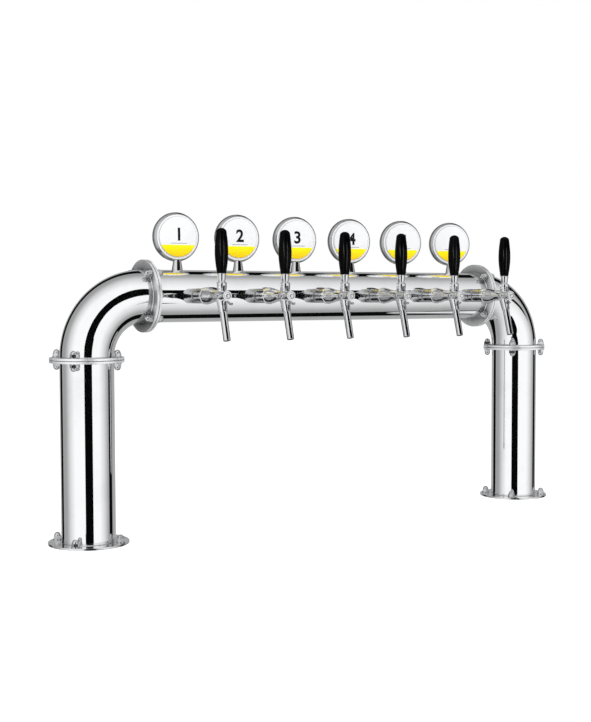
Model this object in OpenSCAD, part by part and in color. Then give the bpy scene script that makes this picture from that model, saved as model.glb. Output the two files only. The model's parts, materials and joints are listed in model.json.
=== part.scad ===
// Flanged-pipe bridge tower with a row of draught taps and lit signs.
// Millimetres. +X runs along the crossbar, the taps face -Y, +Z is up.
// The origin lies on the counter, midway between the two leg axes.

/* [Pipework] */
// Outside diameter of the pipe
pipe_d = 101.6; // [101.6:0.2:106]
// Wall of the pipe
pipe_wall = 2; // [1.5:0.5:3]
// Distance between the two leg axes
leg_span = 1060; // [1050:10:1300]
// Height of the crossbar's axis over the counter
axis_h = 465; // [420:5:600]
// Radius of the elbows on the pipe's axis
bend_r = 115; // [110:1:130]

/* [Flanges] */
// Diameter of the flanges between the pipes
flange_d = 140; // [138:1:160]
// Thickness of each flange
flange_t = 4.6; // [4:0.2:8]
// Bolt circle of the flanges
flange_pcd = 122; // [121:0.5:124]
// Diameter of the base plates
base_d = 152; // [150:1:180]
// Thickness of the base plates
base_t = 4; // [3:0.5:8]
// Bolt circle of the base plates
base_pcd = 127; // [124:0.5:132]

/* [Taps] */
// How many taps, half of them fed through each leg
tap_count = 6; // [2:2:6]
// Distance between neighbouring taps
tap_pitch = 136; // [125:1:148]
// Distance from the crossbar's axis to the handles' axis
tap_reach = 180; // [178:1:190]
// Radius of the tap's body at the handle
body_r = 10.8; // [10.6:0.1:12]
// Radius of the bulb behind the flow control
bulb_r = 16; // [15:0.5:18]
// How far the handle tips forward
throw_deg = 32; // [20:1:32]
// Forward lean of the spout
spout_lean = 15; // [10:1:20]
// Length of the spout, from the body's axis to its mouth
spout_len = 85; // [70:1:95]

/* [Handles] */
// Greatest radius of the grip
grip_r = 12.5; // [11:0.5:14]
// Length of the grip below its dome
grip_len = 74; // [60:1:90]

/* [Lit signs] */
// Radius of the sign's housing
sign_r = 48; // [44:1:52]
// Height of the sign's centre over the crossbar's axis
sign_rise = 115; // [112:1:125]
// How far the first sign is turned towards the left leg, in degrees
first_turn = 3; // [-20:1:20]
// How far the last sign is turned towards the left leg, in degrees
last_turn = 15; // [-20:1:20]

/* [Hidden] */
$fn = 96;
pipe_r = pipe_d / 2;
bore_r = pipe_r - pipe_wall;
leg_x = leg_span / 2;
tangent = 4;                          // straight pipe between a flange face and its bend
joint_z = axis_h - bend_r - tangent;  // joint between a leg and its elbow
joint_x = leg_x - bend_r - tangent;   // joint between an elbow and the crossbar
gasket_t = 0.8;
face_gap = gasket_t / 2;
edge = 0.5;                           // broken edges
bolt_count = 4;
hole_r = 4.5;                         // clearance holes for M8
m8_r = 4;
washer_t = 1.4;
nut_flats = 13;
nut_h = 13;
nut_hex_h = 6;
nut_bore = 9.5;

// Stations along a tap, as distances from the crossbar's axis
shank_in = 26;        // inner end of the shank, in the crossbar
collar_end = 88;      // the collar's front, on which the coupling nut bears
lip_end = 92;
shank_end = 95.3;
spigot_y = 97;
nut_end = 116.4;
rim_y = 117;
dome_y = 124;
flow_y = 150;
waist_y = 158;
nose_y = 199;
collar_r = 14.2;
spigot_r = 11.4;
shank_r = 9.3;
passage_r = 3.2;
nose_r = 9.6;
clear = 0.05;         // running clearance on a radius

// Valve, measured from the ball's centre
ball_r = 8;
chamber_r = 8.15;
stem_r = 3;
neck_r = 9.5;
seat_r = 20.6;        // domed top of the neck, which the lever's cap slides over
cap_gap = 0.3;
cap_top = 27.5;
ferrule_top = 41;
port_h = 3.8;
port_w = 7.2;
trunnion_r = 2;
spout_back = 2.5;     // the spout's axis meets the body's axis this far behind the ball
sleeve_len = 31.6;
sleeve_r = 7.8;
spout_r = 6.85;
spout_bore = 5.25;
spout_seat = 20;
spindle_r = 3.4;
spindle_x = 15.4;

// Signs, measured from the sign's centre; the front faces -Y
sign_back = 16;
sign_front = 4;
lens_r = 43.6;
sign_wall = 2;
cavity_r = sign_r - 6;
board_t = 1.6;
stem_top = sign_rise - sign_r + 3;
sign_thread_r = 6;

// Hoses and cable inside the pipework
hose_r = 4.8;
hose_wall = 1.6;
hose_bend = 20;
hose_step = 15;
hose_lead = 2;        // straight hose between a shank and its bend
coupler_z = 8;
coupler_h = 36;
cable_r = 2;
cable_rise = 30;      // height of the cable over the crossbar's axis
drop_r = 1.3;
drop_y = 1.7;         // the drop to a sign runs behind its stem's axis, clear of the lens

function tap_x(n) = (n - (tap_count + 1) / 2) * tap_pitch;
function sign_turn(n) = mix(first_turn, last_turn, (n - 1) / (tap_count - 1));
function ease(t) = t * t * (3 - 2 * t);
function mix(a, b, t) = a + (b - a) * t;
steps = [0 : 1 / 12 : 1];

tower_nodes = ["left_leg", "right_leg", "left_elbow", "right_elbow", "crossbar",
    "flange_gaskets", "flange_studs", "washers", "cap_nuts",
    "left_product_lines", "right_product_lines", "line_couplers", "light_cable"];
tap_nodes = ["shanks", "shank_collars", "shank_locknuts", "coupling_nuts",
    "front_caps", "tap_seals", "trunnion_screws"];
sign_nodes = ["sign_stems", "sign_nuts", "sign_lenses", "light_boards"];
each_tap = ["tap_body_", "spout_", "lever_", "grip_", "flow_lever_", "sign_housing_"];

// ---------------------------------------------------------------- helpers

// Turns a shape standing on Z so that it stands out of the crossbar, towards -Y
module outward() { rotate([90, 0, 0]) children(); }

// Places a shape at every tap
module at_taps() {
    for (n = [1 : tap_count]) translate([tap_x(n), 0, axis_h]) children();
}

// Places a shape at every sign, turned with it
module at_signs() {
    for (n = [1 : tap_count]) translate([tap_x(n), 0, axis_h]) rotate(-sign_turn(n)) children();
}

// Places a shape on a bolt circle, with the bolts astride the centre lines
module on_circle(pcd, count = bolt_count) {
    for (k = [0 : count - 1]) rotate(360 / count * (k + 0.5)) translate([pcd / 2, 0, 0]) children();
}

// Places a shape at each of the four flange joints, with Z along the pipe
module at_joints() {
    for (side = [-1, 1]) {
        translate([side * leg_x, 0, joint_z]) children();
        translate([side * joint_x, 0, axis_h]) rotate([0, 90, 0]) children();
    }
}

// A drilled round plate with broken edges; its bore is cut with the pipe's
module plate(d, t, pcd) {
    difference() {
        rotate_extrude() polygon([[0, 0], [d / 2 - edge, 0], [d / 2, edge],
            [d / 2, t - edge], [d / 2 - edge, t], [0, t]]);
        on_circle(pcd) translate([0, 0, -1]) cylinder(r = hole_r, h = t + 2);
    }
}

// A flat ring or a length of tube
module ring(r_out, r_in, h) {
    difference() {
        cylinder(r = r_out, h = h);
        translate([0, 0, -1]) cylinder(r = r_in, h = h + 2);
    }
}

// A slot with round ends, as wide as w and as high as h
module round_slot(w, h) {
    square([w - h, h], center = true);
    for (side = [-1, 1]) translate([side * (w - h) / 2, 0]) circle(d = h);
}

// ---------------------------------------------------------------- pipework

module leg(side) {
    color("silver") translate([side * leg_x, 0, 0]) difference() {
        union() {
            plate(base_d, base_t, base_pcd);
            cylinder(r = pipe_r, h = joint_z - face_gap);
            translate([0, 0, joint_z - face_gap - flange_t]) plate(flange_d, flange_t, flange_pcd);
        }
        translate([0, 0, -1]) cylinder(r = bore_r, h = joint_z + 2);
    }
}

// The path of an elbow as a solid of radius r, each end drawn out by over
module elbow_path(r, over) {
    translate([0, 0, -tangent - over]) cylinder(r = r, h = tangent + over);
    translate([bend_r, 0, 0]) rotate([90, 0, 180]) rotate_extrude(angle = 90)
        translate([bend_r, 0]) circle(r);
    translate([bend_r, 0, bend_r]) rotate([0, 90, 0]) cylinder(r = r, h = tangent + over);
}

module elbow(side) {
    color("silver") translate([side * leg_x, 0, joint_z + tangent]) mirror([side > 0 ? 1 : 0, 0, 0])
        difference() {
            union() {
                elbow_path(pipe_r, -face_gap);
                translate([0, 0, face_gap - tangent]) plate(flange_d, flange_t, flange_pcd);
                translate([bend_r + tangent - face_gap, 0, bend_r]) rotate([0, -90, 0])
                    plate(flange_d, flange_t, flange_pcd);
            }
            elbow_path(bore_r, 1);
        }
}

module crossbar() {
    length = 2 * (joint_x - face_gap);
    color("silver") difference() {
        translate([-length / 2, 0, axis_h]) rotate([0, 90, 0]) union() {
            cylinder(r = pipe_r, h = length);
            plate(flange_d, flange_t, flange_pcd);
            translate([0, 0, length - flange_t]) plate(flange_d, flange_t, flange_pcd);
        }
        translate([-length, 0, axis_h]) rotate([0, 90, 0]) cylinder(r = bore_r, h = 2 * length);
        at_taps() {
            outward() cylinder(r = shank_r + 0.3, h = pipe_r + 5);
            cylinder(r = sign_thread_r + 0.3, h = pipe_r + 5);
        }
    }
}

module flange_gaskets() {
    color("dimgray") at_joints() translate([0, 0, -face_gap]) ring(pipe_r + 4, bore_r, gasket_t);
}

module flange_studs() {
    reach = flange_t + face_gap + washer_t + nut_bore - 1;
    color("gray") at_joints() on_circle(flange_pcd)
        translate([0, 0, -reach]) cylinder(r = m8_r - clear, h = 2 * reach);
}

// Places a shape on the outer face of every flange and base plate, at each bolt
module at_bolts() {
    at_joints() on_circle(flange_pcd) for (flip = [0, 180])
        rotate([flip, 0, 0]) translate([0, 0, face_gap + flange_t]) children();
    for (side = [-1, 1]) translate([side * leg_x, 0, base_t]) on_circle(base_pcd) children();
}

module washers() {
    color("silver") at_bolts() ring(8, m8_r + 0.3, washer_t);
}

// A domed cap nut with a blind tapped hole, standing on its washer
module cap_nuts() {
    dome_r = 6;
    color("gainsboro") at_bolts() translate([0, 0, washer_t]) difference() {
        union() {
            intersection() {
                cylinder(d = nut_flats / cos(30), h = nut_hex_h, $fn = 6);
                cylinder(r1 = nut_flats / 2 + 0.2 + nut_hex_h * 2, r2 = nut_flats / 2 + 0.2, h = nut_hex_h);
            }
            cylinder(r = dome_r, h = nut_h - dome_r);
            translate([0, 0, nut_h - dome_r]) sphere(dome_r);
        }
        translate([0, 0, -1]) cylinder(r = m8_r, h = nut_bore + 1);
    }
}

// ---------------------------------------------------------------- hoses and wiring

// How far back a tap's hose runs along the crossbar; the tap nearest the leg runs foremost
function hose_lane(rank) = hose_bend + hose_lead - shank_in + rank * hose_step;

// The path of a hose as a solid of radius r, from a shank's tail, along the
// crossbar, round the elbow and down the leg, each end drawn out by over
module hose_path(n, r, over) {
    lane = hose_lane(tap_count / 2 - 1 - floor(abs(tap_x(n)) / tap_pitch));
    bend_x = -abs(tap_x(n)) - hose_bend;
    foot_z = coupler_z + coupler_h / 2 + 1 - over;
    translate([-abs(tap_x(n)), -shank_in - over, axis_h]) rotate([-90, 0, 0])
        cylinder(r = r, h = lane - hose_bend + shank_in + over);
    translate([bend_x, lane - hose_bend, axis_h]) rotate_extrude(angle = 90)
        translate([hose_bend, 0]) circle(r);
    translate([bend_r - leg_x, lane, axis_h]) rotate([0, 90, 0])
        cylinder(r = r, h = bend_x + leg_x - bend_r);
    translate([bend_r - leg_x, lane, axis_h - bend_r]) rotate([90, 0, 180]) rotate_extrude(angle = 90)
        translate([bend_r, 0]) circle(r);
    translate([-leg_x, lane, foot_z]) cylinder(r = r, h = axis_h - bend_r - foot_z);
}

module product_lines(side) {
    color("whitesmoke") mirror([side > 0 ? 1 : 0, 0, 0]) for (n = [1 : tap_count / 2]) difference() {
        hose_path(n, hose_r, 0);
        hose_path(n, hose_r - hose_wall, 1);
    }
}

// Push-fit couplers where the hoses meet the bar's own lines
module line_couplers() {
    depth = coupler_h / 2 - 1;
    color("dimgray") for (side = [-1, 1]) for (rank = [0 : tap_count / 2 - 1])
        translate([side * leg_x, hose_lane(rank), coupler_z]) difference() {
            rotate_extrude() polygon([[0, 0], [5.6, 0], [5.6, 3], [7, 4], [7, coupler_h - 4],
                [5.6, coupler_h - 3], [5.6, coupler_h], [0, coupler_h]]);
            for (z = [-1, coupler_h - depth]) translate([0, 0, z]) cylinder(r = hose_r, h = depth + 1);
            cylinder(r = hose_r - hose_wall, h = coupler_h);
        }
}

// One cable up the left leg and along the crossbar, with a drop to every sign's board
module light_cable() {
    foot_z = 10;
    drop_top = sign_rise - 30;
    board_y = sign_back - sign_wall - board_t;
    color("black") {
        translate([-leg_x - cable_rise, 0, foot_z]) cylinder(r = cable_r, h = axis_h - bend_r - foot_z);
        translate([bend_r - leg_x, 0, axis_h - bend_r]) rotate([90, 0, 180]) rotate_extrude(angle = 90)
            translate([bend_r + cable_rise, 0]) circle(cable_r);
        translate([bend_r - leg_x, 0, axis_h + cable_rise]) rotate([0, 90, 0])
            cylinder(r = cable_r, h = leg_x - bend_r + tap_x(tap_count) + cable_r);
        at_signs() {
            translate([0, drop_y, cable_rise]) cylinder(r = drop_r, h = drop_top - cable_rise);
            translate([0, drop_y - drop_r, drop_top]) rotate([-90, 0, 0])
                cylinder(r = drop_r, h = board_y - drop_y + drop_r);
        }
    }
}

// ---------------------------------------------------------------- shank and nuts

module shanks() {
    color("silver") at_taps() outward() difference() {
        union() {
            translate([0, 0, shank_in]) cylinder(r = shank_r, h = lip_end - shank_in);
            translate([0, 0, lip_end]) cylinder(r = spigot_r - 0.2, h = shank_end - lip_end);
        }
        translate([0, 0, shank_in - 1]) cylinder(r = passage_r, h = shank_end);
    }
}

// Holes for a pin spanner round a ring
module spanner_holes(r, y, turn) {
    for (k = [0 : 3]) rotate(turn + 90 * k) translate([r - 2.5, 0, y]) rotate([0, 90, 0])
        cylinder(r = 1.9, h = 5);
}

// A long ring that fits the pipe's curve and backs the coupling nut
module shank_collars() {
    color("silver") at_taps() difference() {
        outward() difference() {
            rotate_extrude() polygon([[0, 0], [collar_r, 0], [collar_r, collar_end - 0.8],
                [collar_r - 0.8, collar_end], [0, collar_end]]);
            cylinder(r = shank_r + 0.1, h = collar_end + 1);
            spanner_holes(collar_r, 77, 13);
        }
        rotate([0, 90, 0]) cylinder(r = pipe_r, h = 4 * collar_r, center = true);
    }
}

// Height over the pipe's axis at which a nut's flats meet the bore
function bore_seat(flats) = sqrt(pow(bore_r, 2) - pow(flats / 2, 2)) - clear;

module shank_locknuts() {
    flats = 27;
    lock_t = 5;
    color("silver") at_taps() outward() translate([0, 0, bore_seat(flats) - lock_t]) difference() {
        cylinder(d = flats / cos(30), h = lock_t, $fn = 6);
        translate([0, 0, -1]) cylinder(r = shank_r + clear, h = lock_t + 2);
    }
}

// The nut behind the tap: its lip holds the shank's flange, its thread the tap's spigot
module coupling_nuts() {
    color("gainsboro") at_taps() outward() difference() {
        rotate_extrude() polygon([[0, collar_end], [collar_r - 0.8, collar_end],
            [collar_r, collar_end + 0.8], [collar_r, nut_end - 0.8], [collar_r - 0.8, nut_end],
            [0, nut_end]]);
        cylinder(r = shank_r + 0.2, h = nut_end);
        translate([0, 0, lip_end]) cylinder(r = spigot_r + clear, h = nut_end);
        spanner_holes(collar_r, 106, 30);
    }
}

// ---------------------------------------------------------------- tap

// Puts a shape on the spout's axis, with Z running down the spout from the body's axis
module down_spout() {
    translate([0, spout_back, 0]) rotate([180 - spout_lean, 0, 0]) children();
}

// The way the stem sweeps, as a wedge across X
module stem_sweep(w) {
    half = stem_r + 0.4;
    rotate([90, 0, 90]) linear_extrude(w, center = true) {
        for (tip = [0, throw_deg]) rotate(tip) translate([-half, 0]) square([2 * half, 2 * seat_r]);
        polygon([[0, 0], [0, 2 * seat_r], [-sin(throw_deg) * 2 * seat_r, cos(throw_deg) * 2 * seat_r]]);
    }
}

// Outside of the tap's casting, about the ball's centre
module casting() {
    outward() translate([0, 0, -tap_reach]) rotate_extrude() polygon(concat(
        [[0, spigot_y], [spigot_r, spigot_y], [spigot_r, rim_y], [bulb_r - 0.8, rim_y],
            [bulb_r, rim_y + 0.8], [bulb_r, dome_y - 0.8], [bulb_r - 0.8, dome_y]],
        [for (t = steps) [mix(bulb_r - 0.6, body_r, ease(t)), mix(dome_y + 0.6, waist_y, t)]],
        [[body_r, tap_reach + 4]],
        [for (t = steps) if (t > 0) [mix(body_r, nose_r, ease(t)), mix(tap_reach + 4, nose_y - 4, t)]],
        [[nose_r, nose_y], [0, nose_y]]));
    // neck under the handle, with a domed top
    intersection() {
        rotate_extrude() polygon([[0, 0], [neck_r - 0.7, 0], [neck_r - 0.7, body_r + 1.2],
            [neck_r, body_r + 2.2], [neck_r, seat_r], [0, seat_r]]);
        sphere(seat_r);
    }
    // bosses for the trunnion screws
    rotate([0, 90, 0]) cylinder(r = 6.4, h = 2 * (body_r + 1.4), center = true);
    // boss for the flow control's spindle
    translate([0, tap_reach - flow_y, 0]) rotate([0, 90, 0]) {
        cylinder(r = 6, h = spindle_x - 0.4);
        translate([0, 0, spindle_x - 3.6]) cylinder(r = 7, h = 3.2);
    }
    // sleeve that takes the spout
    down_spout() {
        sphere(body_r + 0.5);
        rotate_extrude() polygon(concat([[0, 1], [body_r + 0.4, 1]],
            [for (t = steps) [mix(body_r + 0.3, sleeve_r, t + 0.25 * t * (1 - t)), mix(4, sleeve_len, t)]],
            [[0, sleeve_len]]));
    }
}

module tap_body(n) {
    color("gainsboro") translate([tap_x(n), -tap_reach, axis_h]) difference() {
        casting();
        // way in for the drink, the valve's chamber and its open front
        outward() translate([0, 0, spigot_y - tap_reach - 1])
            cylinder(r = passage_r, h = tap_reach - spigot_y);
        outward() translate([0, 0, -9]) cylinder(r = chamber_r, h = 40);
        stem_sweep(2 * (stem_r + 0.4));
        // way out, and the socket for the spout
        down_spout() {
            cylinder(r = 4.5, h = sleeve_len + 1);
            translate([0, 0, spout_seat]) cylinder(r = spout_r + clear, h = sleeve_len);
        }
        // trunnions and flow control
        rotate([0, 90, 0]) cylinder(r = trunnion_r + 0.02, h = 60, center = true);
        translate([-5.5, tap_reach - flow_y, 0]) rotate([0, 90, 0]) cylinder(r = spindle_r + clear, h = 40);
    }
}

module spout(n) {
    color("gainsboro") translate([tap_x(n), -tap_reach, axis_h]) down_spout() difference() {
        rotate_extrude() polygon([[0, spout_seat], [spout_r, spout_seat], [spout_r, spout_len - edge],
            [spout_r - edge, spout_len], [0, spout_len]]);
        translate([0, 0, spout_seat - 1]) cylinder(r = spout_bore, h = spout_len);
    }
}

// Ball, stem, sliding cap and ferrule: what the handle turns
module lever(n) {
    color("gainsboro") translate([tap_x(n), -tap_reach, axis_h]) {
        difference() {
            sphere(ball_r);
            // slotted way in, which faces the seat when the handle is forward
            rotate([-90 - throw_deg, 0, 0]) linear_extrude(ball_r + 1) round_slot(port_w, port_h);
            // way out, towards the spout when the handle is forward
            rotate([180 - spout_lean - throw_deg, 0, 0]) cylinder(r = 3, h = ball_r + 1);
            for (side = [-1, 1]) translate([side * (ball_r + 4.2) / 2, 0, 0]) rotate([0, 90, 0])
                cylinder(r = trunnion_r + 0.06, h = ball_r - 4.2 + 0.4, center = true);
        }
        translate([0, 0, ball_r - 1]) cylinder(r = stem_r, h = cap_top - ball_r);
        difference() {
            rotate_extrude() polygon(concat([[0, 15], [neck_r, 15], [neck_r, 22.6]],
                [for (t = steps) [neck_r - 2 + 2 * cos(90 * t), 22.8 + 2 * sin(90 * t)]],
                [[6.4, 25.6], [6.4, cap_top], [0, cap_top]]));
            sphere(seat_r + cap_gap);
        }
        rotate_extrude() polygon([[0, cap_top - 0.5], [6.4, cap_top - 0.5], [6.85, cap_top],
            [8.45, ferrule_top - 1], [8.2, ferrule_top], [m8_r, ferrule_top],
            [m8_r, ferrule_top + 14], [0, ferrule_top + 14]]);
    }
}

module grip(n) {
    foot_r = 8.6;
    head_r = 9.8;
    dome_h = 8;
    swell = grip_r - (foot_r + head_r) / 2;
    color("black") translate([tap_x(n), -tap_reach, axis_h + ferrule_top]) difference() {
        rotate_extrude() polygon(concat([[0, 0], [foot_r - 0.6, 0]],
            [for (t = [0 : 1 / 24 : 1]) [mix(foot_r, head_r, t) + swell * sin(180 * t), 0.6 + t * grip_len]],
            [for (a = [10 : 10 : 80]) [head_r * cos(a), 0.6 + grip_len + dome_h * sin(a)]],
            [[0, 0.6 + grip_len + dome_h]]));
        translate([0, 0, -1]) cylinder(r = m8_r, h = 15.5);
    }
}

// A washer between each shank and tap, and a slotted seat behind each ball
module tap_seals() {
    color("white") at_taps() {
        outward() translate([0, 0, shank_end]) ring(spigot_r - 0.2, passage_r, spigot_y - shank_end);
        translate([0, -tap_reach, 0]) difference() {
            outward() translate([0, 0, -9]) cylinder(r = chamber_r - clear, h = 4.5);
            outward() translate([0, 0, -10]) linear_extrude(10) round_slot(port_w, port_h);
            sphere(ball_r + clear);
        }
    }
}

module trunnion_screws() {
    inner = 4.6;
    color("silver") at_taps() translate([0, -tap_reach, 0]) for (flip = [0, 1]) mirror([flip, 0, 0])
        rotate([0, 90, 0]) {
            translate([0, 0, inner]) cylinder(r = trunnion_r, h = body_r + 2 - inner);
            translate([0, 0, body_r + 1.4]) intersection() {
                cylinder(r = 3.6, h = 1.8);
                translate([0, 0, -2.6]) sphere(4.4);
            }
        }
}

// Domed cap that closes the valve's chamber
module front_caps() {
    color("gainsboro") at_taps() outward() difference() {
        rotate_extrude() polygon(concat([[0, 191], [chamber_r - clear, 191], [chamber_r - clear, nose_y],
            [8.4, nose_y], [8.9, nose_y + 0.5], [8.9, nose_y + 2.6], [8.4, nose_y + 3.1],
            [6.6, nose_y + 3.1]],
            [for (a = [0 : 15 : 75]) [6.4 * cos(a), nose_y + 3.6 + 4 * sin(a)]],
            [[0, nose_y + 7.6]]));
        translate([0, 0, 190]) cylinder(r = 5, h = 8);
    }
}

// Throttle spindle with its hooked lever, on the tap's right side
module flow_lever(n) {
    rod_r = 2.1;
    rod_lean = 25;       // the rod leaves the hub outwards by this much
    rod_len = 20;
    hook_r = 3;
    hook_deg = 110;
    hub_t = 5.4;
    color("gainsboro") translate([tap_x(n), -flow_y, axis_h]) {
        difference() {
            translate([-5, 0, 0]) rotate([0, 90, 0]) cylinder(r = spindle_r, h = spindle_x + 5.5);
            outward() cylinder(r = 2.6, h = 12, center = true);
        }
        translate([spindle_x, 0, 0]) rotate([0, 90, 0]) rotate_extrude()
            polygon([[0, 0], [5.6, 0], [6.2, 0.6], [6.2, hub_t - 1.4], [4.8, hub_t], [0, hub_t]]);
        // the rod runs down and forward from the hub, then hooks outwards
        rotate([-38, 0, 0]) translate([spindle_x + hub_t / 2, 0, 0]) rotate([0, 180 - rod_lean, 0]) {
            cylinder(r = rod_r, h = rod_len);
            translate([-hook_r, 0, rod_len]) rotate([90, 0, 0]) {
                rotate_extrude(angle = hook_deg) translate([hook_r, 0]) circle(rod_r);
                rotate(hook_deg) translate([hook_r, 0, 0]) sphere(rod_r + 0.3);
            }
        }
    }
}

// ---------------------------------------------------------------- lit signs

// Outline of a sign's drum from its back to its front: [radius, distance forward]
drum_outline = concat([[0, -sign_back]],
    [for (a = [0 : 15 : 90]) [cavity_r + 5 * sin(a), -sign_back + 5 - 5 * cos(a)]],
    [for (t = steps) if (t > 0) [sign_r - 1 + sin(180 * t), mix(5 - sign_back, 0, t)]],
    [[lens_r + 0.6, sign_front]]);

// Cone that carries a sign on top of the crossbar, with a hollow thread below
module sign_stems() {
    foot_r = 11;
    color("gainsboro") for (n = [1 : tap_count]) translate([tap_x(n), 0, axis_h]) difference() {
        union() {
            difference() {
                rotate_extrude() polygon([[0, 40], [foot_r, 40], [foot_r, pipe_r - 0.8],
                    [7.7, stem_top], [0, stem_top]]);
                rotate([0, 90, 0]) cylinder(r = pipe_r, h = 4 * foot_r, center = true);
            }
            translate([0, 0, 34]) cylinder(r = sign_thread_r, h = 20);
        }
        translate([0, 0, 30]) cylinder(r = drop_y + drop_r + 0.2, h = sign_rise);
        rotate(-sign_turn(n)) translate([0, 0, sign_rise]) outward() rotate_extrude()
            polygon(concat(drum_outline, [[0, sign_front]]));
    }
}

module sign_nuts() {
    flats = 19;
    lock_t = 5;
    color("silver") at_taps() translate([0, 0, bore_seat(flats) - lock_t]) difference() {
        cylinder(d = flats / cos(30), h = lock_t, $fn = 6);
        translate([0, 0, -1]) cylinder(r = sign_thread_r + clear, h = lock_t + 2);
    }
}

// Hollow drum with a rounded back, and a ledge and a lip round the lens
module sign_housing(n) {
    seat = lens_r + clear;
    floor_y = sign_wall - sign_back;
    color("gainsboro") translate([tap_x(n), 0, axis_h + sign_rise]) rotate(-sign_turn(n)) difference() {
        outward() rotate_extrude() polygon(concat(drum_outline,
            [[seat, sign_front], [seat, 0], [cavity_r, 0], [cavity_r, floor_y], [0, floor_y]]));
        translate([0, drop_y, -sign_r - 1]) cylinder(r = drop_r + 0.3, h = 8);
    }
}

// Opal lens: a flat rim and a raised, softly domed face
module sign_lenses() {
    rim_y0 = sign_front - 0.6;
    face_r = 39.6;
    color("white") at_signs() translate([0, 0, sign_rise]) outward() difference() {
        rotate_extrude() polygon(concat([[0, 0], [lens_r, 0], [lens_r, rim_y0 - 0.6], [lens_r - 0.6, rim_y0],
            [face_r, rim_y0]],
            [for (a = [0 : 15 : 90]) [face_r - 3 + 3 * cos(a), rim_y0 + 0.4 + 3 * sin(a)]],
            [for (t = [0.15 : 0.15 : 0.9])
                [(face_r - 3) * (1 - t), rim_y0 + 3.4 + 3.2 * (1 - pow(1 - t, 2))]],
            [[0, rim_y0 + 6.6]]));
        translate([0, 0, -1]) cylinder(r = face_r - 3, h = 3);
    }
}

// Round board with a ring of lamps behind each lens
module light_boards() {
    lamp = 5;
    color("forestgreen") at_signs() translate([0, 0, sign_rise]) outward() {
        translate([0, 0, sign_wall - sign_back]) cylinder(r = cavity_r - 4, h = board_t);
        translate([0, 0, sign_wall - sign_back + board_t + lamp / 6]) {
            cube([lamp, lamp, lamp / 3], center = true);
            for (k = [0 : 7]) rotate(45 * k) translate([24, 0, 0])
                cube([lamp, lamp, lamp / 3], center = true);
        }
    }
}

// ---------------------------------------------------------------- nodes

leg(-1);  // left_leg
leg(1);  // right_leg
elbow(-1);  // left_elbow
elbow(1);  // right_elbow
crossbar();
flange_gaskets();
flange_studs();
washers();
cap_nuts();
product_lines(-1);  // left_product_lines
product_lines(1);  // right_product_lines
line_couplers();
light_cable();
shanks();
shank_collars();
shank_locknuts();
coupling_nuts();
front_caps();
tap_seals();
trunnion_screws();
sign_stems();
sign_nuts();
sign_lenses();
light_boards();
for (n = [1 : tap_count]) {
    tap_body(n);
    spout(n);
    lever(n);
    grip(n);
    flow_lever(n);
    sign_housing(n);
}
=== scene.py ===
"""Bridge tower of flanged steel pipe with six draught taps and six lit signs.

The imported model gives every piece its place. This script gives the pieces their finishes,
rebuilds the polished ones with smooth surfaces, and sets up a plain studio around them.
Sizes of the tower are in millimetres and pass through MM; the scene is in metres.
"""

from __future__ import annotations

import json
import logging
import math
from dataclasses import dataclass
from enum import Enum
from typing import Callable, Iterable, Sequence

import bmesh
import bpy
from mathutils import Matrix, Vector

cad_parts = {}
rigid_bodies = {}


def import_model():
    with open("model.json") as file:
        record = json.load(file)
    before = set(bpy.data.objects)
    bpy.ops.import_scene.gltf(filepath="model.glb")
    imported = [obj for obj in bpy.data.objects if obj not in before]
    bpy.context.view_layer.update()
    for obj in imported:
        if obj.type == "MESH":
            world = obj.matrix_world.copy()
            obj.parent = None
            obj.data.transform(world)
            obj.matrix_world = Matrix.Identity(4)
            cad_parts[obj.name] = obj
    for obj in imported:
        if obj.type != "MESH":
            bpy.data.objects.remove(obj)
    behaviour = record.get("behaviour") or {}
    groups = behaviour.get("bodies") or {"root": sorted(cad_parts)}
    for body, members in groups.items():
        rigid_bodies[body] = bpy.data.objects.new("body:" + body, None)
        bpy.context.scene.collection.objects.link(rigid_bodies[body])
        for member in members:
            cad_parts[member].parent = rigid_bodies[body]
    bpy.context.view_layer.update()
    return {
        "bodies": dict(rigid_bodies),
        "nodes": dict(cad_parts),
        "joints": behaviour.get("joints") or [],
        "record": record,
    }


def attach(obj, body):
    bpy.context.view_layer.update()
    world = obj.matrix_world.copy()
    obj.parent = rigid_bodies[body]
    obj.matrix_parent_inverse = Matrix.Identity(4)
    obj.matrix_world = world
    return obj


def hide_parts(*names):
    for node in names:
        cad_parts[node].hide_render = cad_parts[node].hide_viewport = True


log = logging.getLogger("tower")

MM = 0.001
LAY = "lay"  # the attribute that holds (round, round, along) on turned and drawn pieces
FACING = "facing"  # the attribute that says which way a repeated part looks

Node = bpy.types.Node
Tree = bpy.types.NodeTree
Socket = bpy.types.NodeSocket
Mesh = bpy.types.Mesh
Object = bpy.types.Object
Material = bpy.types.Material
Point = tuple[float, float]
Triple = tuple[float, float, float]
Spot = tuple[Vector, Vector]  # a place in millimetres and a unit facing


class Side(Enum):
    """The two ends of the tower, as signs of X."""

    LEFT = -1
    RIGHT = 1

    @property
    def word(self) -> str:
        """The side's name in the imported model's nodes."""
        return self.name.lower()


class Lay(Enum):
    """How a metal surface was finished: along which way its fine lines run."""

    POLISHED = "polished"
    FACED = "faced"
    PLATED = "plated"


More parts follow.
